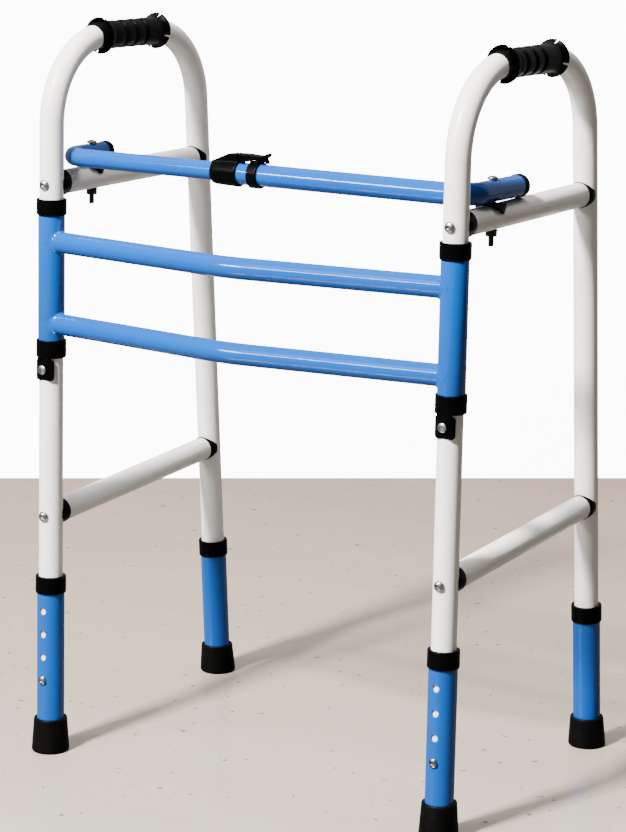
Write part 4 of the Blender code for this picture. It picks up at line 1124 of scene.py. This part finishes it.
# Latch: the tables are in millimetres from the middle of the bar's axis

def round_bar(x, radius, angles):
    """One ring round the bar for each x, with a radius for each angle from straight up."""
    radius = radius + np.zeros(len(angles))
    along = bar_at(0.0, BAR_BACK) + (np.array(x) * MM)[:, None, None] * ACROSS
    return along + (radius * MM)[:, :, None] * spokes(angles, UP, BACK)


def block_radius(angles, half, height):
    """Distance from the bar's axis to a block of this half width and height over the bar."""
    up = np.cos(angles)
    wall = half / np.maximum(np.abs(np.sin(angles)), 1e-6)
    return np.where(up > 0.0, np.minimum(wall, height / np.maximum(up, 1e-6)), 0.0)


def ease(x, low, high, width, depth):
    """How far the edges at both ends are rounded in, by a quarter circle over a width."""
    end = np.minimum(x - low, high - x)
    return depth * (1.0 - np.sqrt(np.maximum(0.0, 1.0 - np.maximum(0.0, 1.0 - end / width) ** 2)))


def soft_max(a, b):
    """Larger of two distances with a small fillet between them: (a^22 + b^22)^(1/22)."""
    return (a ** 22.0 + b ** 22.0) ** (1.0 / 22.0)


class WALKER_OT_latch(bpy.types.Operator):
    """Build the sleeve, lever and keeper that lock the top bar"""

    bl_idname = "walker.latch"
    bl_label = "Latch"

    def execute(self, context):
        sizes = context.scene.walker_sizes
        small, large = (sizes.rod_radius + GAP) / MM, (sizes.bar_radius + GAP) / MM
        pin = bar_at(LEVER_PIN[0] * MM, BAR_BACK, LEVER_PIN[1] * MM)
        end = 7.6 * MM
        dots = lathe([(0.3 * MM, -end, 0.0), (1.6 * MM, -end, 0.3 * MM), (1.6 * MM, end, 0.3 * MM),
                      (0.3 * MM, end, 0.0)], 4, pin, BACK, 32, loop=False)
        axle = peg(1.4 * MM, -5.9 * MM, 5.9 * MM, pin, BACK, 28)
        lock = peg(2.1 * MM, 9.9 * MM, 17.0 * MM, bar_at(sum(KEEPER) / 2.0 * MM, BAR_BACK), UP, 28)
        piece("latch_barrel", [self.barrel(small, large), dots], "satin_plastic", "bar_tube",
              ["latch_sleeve"], sharp=42.0)
        piece("latch_keeper_band", self.keeper(large), "satin_plastic", "bar_tube", ["latch_keeper"],
              sharp=42.0)
        piece("latch_tongue", [self.tongue(), axle, lock, self.catch()], "satin_plastic", "latch_lever",
              ["latch_lever"], sharp=42.0)
        return {"FINISHED"}

    def barrel(self, small, large):
        """Barrel with a ramp that rises to the lever's hinge, slotted between two ears.

        At each x the radius is the larger of the barrel's and the block's, where the block is
        a half width over |sin a| under a roof of the ramp's height over cos a.
        """
        slot, tight = 0.28, 0.012
        even = np.linspace(-np.pi, np.pi, 120, endpoint=False)
        even = even[np.abs(np.abs(even) - slot) > 0.03]
        edges = [-slot - tight, -slot + tight, slot - tight, slot + tight]
        angles = np.sort(np.concatenate([even, edges]))
        left, right = LATCH
        px, pz = LEVER_PIN
        along = np.concatenate([[left, left + 0.3, left + 0.9], np.linspace(left + 1.6, right - 1.4, 54),
                                [right - 0.8, right - 0.35, right - 0.1, right]])
        x = along[:, None]
        body = np.interp(x, [left, left + 4.0, right - 10.0, right], [11.9, 12.9, 13.5, 13.7])
        ramp = np.interp(
            x, [left, left + 1.0, left + 3.0, px - 1.5, px + 1.5, right - 2.4, right - 1.0, right],
            [11.0, 11.9, 12.6, pz + 1.4, pz + 2.3, pz + 2.9, pz + 1.6, 13.0])
        block = np.maximum(block_radius(angles, 7.4, ramp), 1.0)
        radius = soft_max(body - ease(x, left, right, 1.0, 0.8), block)
        slotted = (x > px - 5.3) & (np.abs(angles) < slot)
        radius = np.where(slotted, np.minimum(radius, block_radius(angles, 30.0, 14.0)), radius)
        step = (MOUTH - GAP) / MM
        bore = np.array([(right, large + 0.5), (right - 0.5, large), (step + 0.1, large), (step, small),
                         (left + 0.5, small), (left, small + 0.4)])
        rings = (round_bar(along, radius, angles), round_bar(bore[:, 0], bore[:, 1:], angles))
        return skin(np.concatenate(rings), loop=True)

    def keeper(self, large):
        """Ring on the tube with two posts that stand beside the lever's tongue."""
        angles = np.linspace(-np.pi, np.pi, 128, endpoint=False)
        left, right = KEEPER
        along = np.concatenate([[left, left + 0.15, left + 0.5, left + 1.1],
                                np.linspace(left + 2.0, right - 2.0, 7),
                                [right - 1.1, right - 0.5, right - 0.15, right]])
        body = 13.7 - ease(along, left, right, 0.8, 0.6)[:, None]
        rings = (round_bar(along, body, angles), round_bar([right, left], np.full((2, 1), large), angles))
        shells = [skin(np.concatenate(rings), loop=True)]
        for back in (-5.4, 5.4):
            section = rounded([(left + 0.4, back - 1.3, 0.7), (right - 0.4, back - 1.3, 0.7),
                               (right - 0.4, back + 1.3, 0.7), (left + 0.4, back + 1.3, 0.7)], 5, loop=True)
            middle = np.array([(left + right) / 2.0, back])
            rows = []
            for up, share in ((11.6, 1.0), (14.4, 1.0), (14.8, 0.97), (15.0, 0.88)):
                flat = (middle + (section - middle) * share) * MM
                rows.append(bar_at(0.0, BAR_BACK, up * MM) + flat[:, :1] * ACROSS + flat[:, 1:] * BACK)
            shells.append(skin(np.stack(rows)))
        return shells

    def tongue(self):
        """Tongue with a rounded box section carried from its hinge eye to its upturned lip.

        The table gives the tongue's under side, upper side and half width at each x. The section
        is (cos a, sin a) / (cos^10 a + sin^10 a)^(1/10).
        """
        table = np.array([
            (-35.7, 16.8, 17.8, 3.6), (-35.0, 15.2, 18.9, 4.3), (-33.4, 14.6, 19.5, 4.4),
            (-30.0, 14.7, 19.9, 4.4), (-24.0, 14.4, 20.2, 4.4), (-20.6, 14.2, 20.4, 4.6),
            (-19.6, 12.0, 20.4, 5.6), (-18.0, 11.8, 20.5, 6.6), (-14.0, 12.2, 20.5, 7.0),
            (-11.5, 13.6, 20.5, 7.0), (-9.5, 15.0, 20.4, 7.0), (-2.0, 15.2, 20.0, 7.0),
            (4.0, 15.3, 19.7, 7.0), (6.6, 16.2, 19.6, 7.0), (9.0, 17.3, 20.1, 6.9),
            (11.0, 18.7, 21.2, 6.5), (12.4, 20.1, 22.3, 6.1), (12.9, 21.0, 22.6, 5.6)])
        x = np.linspace(table[0, 0], table[-1, 0], 84)
        under, over, wide = (np.interp(x, table[:, 0], table[:, k])[:, None] * MM for k in (1, 2, 3))
        a = turns(56)
        box = (np.abs(np.cos(a)) ** 10.0 + np.abs(np.sin(a)) ** 10.0) ** (-1.0 / 10.0)
        up = (over + under) / 2.0 + (over - under) / 2.0 * np.sin(a) * box
        back = wide * np.cos(a) * box
        along = bar_at(0.0, BAR_BACK) + (x * MM)[:, None, None] * ACROSS
        return skin(along + up[:, :, None] * UP + back[:, :, None] * BACK)

    def catch(self):
        """Small square finger carried down from the tongue's lip to the tube on a curve."""
        share = np.linspace(0.0, 1.0, 12)
        drop = np.stack([7.2 + 2.6 * share ** 1.5, 18.6 - 6.9 * share], -1)[:, None] * MM
        square = np.array([(-0.9, 0.2), (-0.9, 6.4), (0.9, 6.4), (0.9, 0.2)]) * MM
        return skin(bar_at(0.0, BAR_BACK) + (drop[..., :1] + square[:, :1]) * ACROSS + drop[..., 1:] * UP
                    + square[:, 1:] * BACK)


# Stage

def area_light(name, place, aim, size, size_y, power, colour=(1.0, 1.0, 1.0)):
    """Rectangular lamp at a place, turned to an aim point."""
    lamp = bpy.data.lights.new(name, "AREA")
    lamp.shape = "RECTANGLE"
    lamp.size, lamp.size_y, lamp.energy, lamp.color = size, size_y, power, colour
    obj = put_in_scene(name, lamp)
    obj.location = place
    obj.rotation_euler = Vector(aim - place).to_track_quat("-Z", "Y").to_euler()


def flat_quad(name, corners, coat):
    """Flat stage piece from four corners."""
    mesh = bpy.data.meshes.new(name)
    mesh.from_pydata([tuple(c) for c in corners], [], [(0, 1, 2, 3)])
    mesh.materials.append(coat)
    obj = put_in_scene(name, mesh)


def floor_finish(colour):
    """Painted concrete: pale, with a painted fall-off of light, lighter near the camera and darker and browner
    towards the wall, with mottling, a satin sheen and a few specks.
    """
    made, tree, shader, place = new_finish("floor_paint")
    drawn = node(tree, "Mapping", {"Rotation": (0.0, 0.0, math.radians(-32.0)), "Scale": (0.35, 2.4, 1.0),
                                   "Vector": place})
    slow = span(tree, noise(tree, drawn.outputs[0], 2.2, 6.0, 0.62), 0.35, 0.65)
    # Painted light fall-off: the floor is lighter near the camera and darker and browner towards the wall, along
    # the camera's line of sight
    ahead = node(tree, "VectorMath", {0: place, 1: (-0.533, 0.846, 0.0)}, operation="DOT_PRODUCT")
    near, far = (scaled(colour, tint) for tint in ((1.12, 1.23, 1.18), (1.0, 0.86, 0.83)))
    near, far = (blend(tree, slow, scaled(tone, (0.91, 0.89, 0.88)), tone) for tone in (near, far))
    tone = blend(tree, span(tree, ahead.outputs["Value"], -0.5, 1.1), near, far)
    specks = span(tree, noise(tree, place, 75.0, 2.0), 0.695, 0.72, 0.0, 0.85)
    seen = blend(tree, specks, tone, scaled(colour, 0.3))
    camera = node(tree, "LightPath").outputs["Is Camera Ray"]
    rough = noise(tree, place, 4.0, 5.0, 0.6)
    put(tree, shader.inputs["Base Color"], blend(tree, camera, scaled(colour, 0.22), seen))
    put(tree, shader.inputs["Roughness"], span(tree, rough, 0.35, 0.65, 0.14, 0.22))
    put(tree, shader.inputs["Specular IOR Level"], 0.9)
    return made


def wall_finish(colour, glow):
    """White wall that glows for the camera and faintly in gloss, lights nothing and is clear from behind."""
    made, tree, shader, place = new_finish("wall_paint")
    put(tree, shader.inputs["Base Color"], (0.3, 0.3, 0.3))
    slow = span(tree, noise(tree, place, 0.8, 3.0), 0.35, 0.65)
    shade = blend(tree, slow, scaled(colour, 0.86), colour)
    light = node(tree, "Emission", {"Strength": glow, "Color": shade})
    faint = node(tree, "Emission", {"Strength": 0.45})
    path = node(tree, "LightPath").outputs
    mirrored = mix_shader(tree, path["Is Glossy Ray"], shader.outputs[0], faint.outputs[0])
    seen = mix_shader(tree, path["Is Camera Ray"], mirrored, light.outputs[0])
    behind = node(tree, "NewGeometry").outputs["Backfacing"]
    clear = node(tree, "BsdfTransparent").outputs[0]
    put(tree, tree.nodes["Material Output"].inputs["Surface"], mix_shader(tree, behind, seen, clear))
    return made


def room_light(colour, strength):
    """World that lights the room softly and shows a bright background to the camera."""
    world = bpy.data.worlds.new("soft_room")
    world.use_nodes = True
    tree = world.node_tree
    room = tree.nodes["Background"]
    put(tree, room.inputs["Color"], (1.0, 0.96, 0.9))
    put(tree, room.inputs["Strength"], 0.06)
    bright = node(tree, "Background", {"Color": colour, "Strength": strength})
    camera = node(tree, "LightPath").outputs["Is Camera Ray"]
    seen = mix_shader(tree, camera, room.outputs[0], bright.outputs[0])
    put(tree, tree.nodes["World Output"].inputs["Surface"], seen)
    return world


class WALKER_OT_stage(bpy.types.Operator):
    """Set the floor, the wall, the lamps and the camera"""

    bl_idname = "walker.stage"
    bl_label = "Stage"

    def execute(self, context):
        c = context.scene.walker_colours
        flat_quad("floor", [(-7, -7, 0), (7, -7, 0), (7, 7, 0), (-7, 7, 0)], floor_finish(tuple(c.floor)))
        paint = (1.0, 1.0, 0.985)
        ahead = np.array([-math.sin(EYE_TURN), math.cos(EYE_TURN), 0.0])
        reach = np.array([math.cos(EYE_TURN), math.sin(EYE_TURN), 0.0]) * 5.0
        foot = EYE * np.array([1.0, 1.0, 0.0]) + ahead * WALL_AHEAD
        high = np.array([0.0, 0.0, 4.0])
        flat_quad("wall", [foot - reach, foot + reach, foot + reach + high, foot - reach + high],
                  wall_finish(paint, 13.0))
        middle = np.array([0.0, 0.0, 0.5])
        area_light("key", middle + 4.0 * np.array([-0.15, -0.68, 0.72]), middle, 0.46, 0.46, 900.0,
                   (1.0, 0.97, 0.93))
        area_light("window", middle + 4.5 * np.array([-0.43, -0.79, 0.43]), middle, 1.15, 0.3, 150.0)
        area_light("ceiling", np.array([0.2, 0.1, 3.0]), np.array([0.0, 0.0, 0.4]), 1.2, 1.2, 60.0,
                   (1.0, 0.98, 0.95))
        context.scene.world = room_light(paint, 12.5)
        lens = bpy.data.cameras.new("camera")
        lens.lens = LENS
        lens.sensor_width = 36.0
        lens.clip_end = 50.0
        camera = put_in_scene("camera", lens)
        camera.location = EYE
        camera.rotation_euler = (math.pi / 2.0 - EYE_TIP, 0.0, EYE_TURN)
        context.scene.camera = camera
        return {"FINISHED"}


OPERATORS = (
    WALKER_OT_finishes,
    WALKER_OT_side_tubes,
    WALKER_OT_side_rails,
    WALKER_OT_rail_caps,
    WALKER_OT_rail_screws,
    WALKER_OT_front_frame,
    WALKER_OT_bushes,
    WALKER_OT_stop_collars,
    WALKER_OT_grips,
    WALKER_OT_leg_extensions,
    WALKER_OT_top_bar,
    WALKER_OT_pivots,
    WALKER_OT_latch,
    WALKER_OT_stage,
)


class WALKER_PT_panel(bpy.types.Panel):
    """Sidebar panel with the sizes, the colours and a button for each group of pieces"""

    bl_idname = "WALKER_PT_panel"
    bl_label = "Walking frame"
    bl_space_type = "VIEW_3D"
    bl_region_type = "UI"
    bl_category = "Walker"

    def draw(self, context):
        for group in (context.scene.walker_sizes, context.scene.walker_colours):
            box = self.layout.box()
            for name in group.__annotations__:
                box.prop(group, name)
        for operator in OPERATORS:
            self.layout.operator(operator.bl_idname)


CLASSES = (WalkerSizes, WalkerColours, *OPERATORS, WALKER_PT_panel)


def register():
    """Adds the classes and the properties of the scene."""
    for cls in CLASSES:
        bpy.utils.register_class(cls)
    bpy.types.Scene.walker_sizes = PointerProperty(type=WalkerSizes)
    bpy.types.Scene.walker_colours = PointerProperty(type=WalkerColours)


def unregister():
    """Takes the properties and the classes away again."""
    del bpy.types.Scene.walker_colours
    del bpy.types.Scene.walker_sizes
    for cls in reversed(CLASSES):
        bpy.utils.unregister_class(cls)


def main():
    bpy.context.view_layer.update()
    register()
    for operator in OPERATORS:
        group, name = operator.bl_idname.split(".")
        getattr(getattr(bpy.ops, group), name)()


if __name__ == "__main__":
    main()
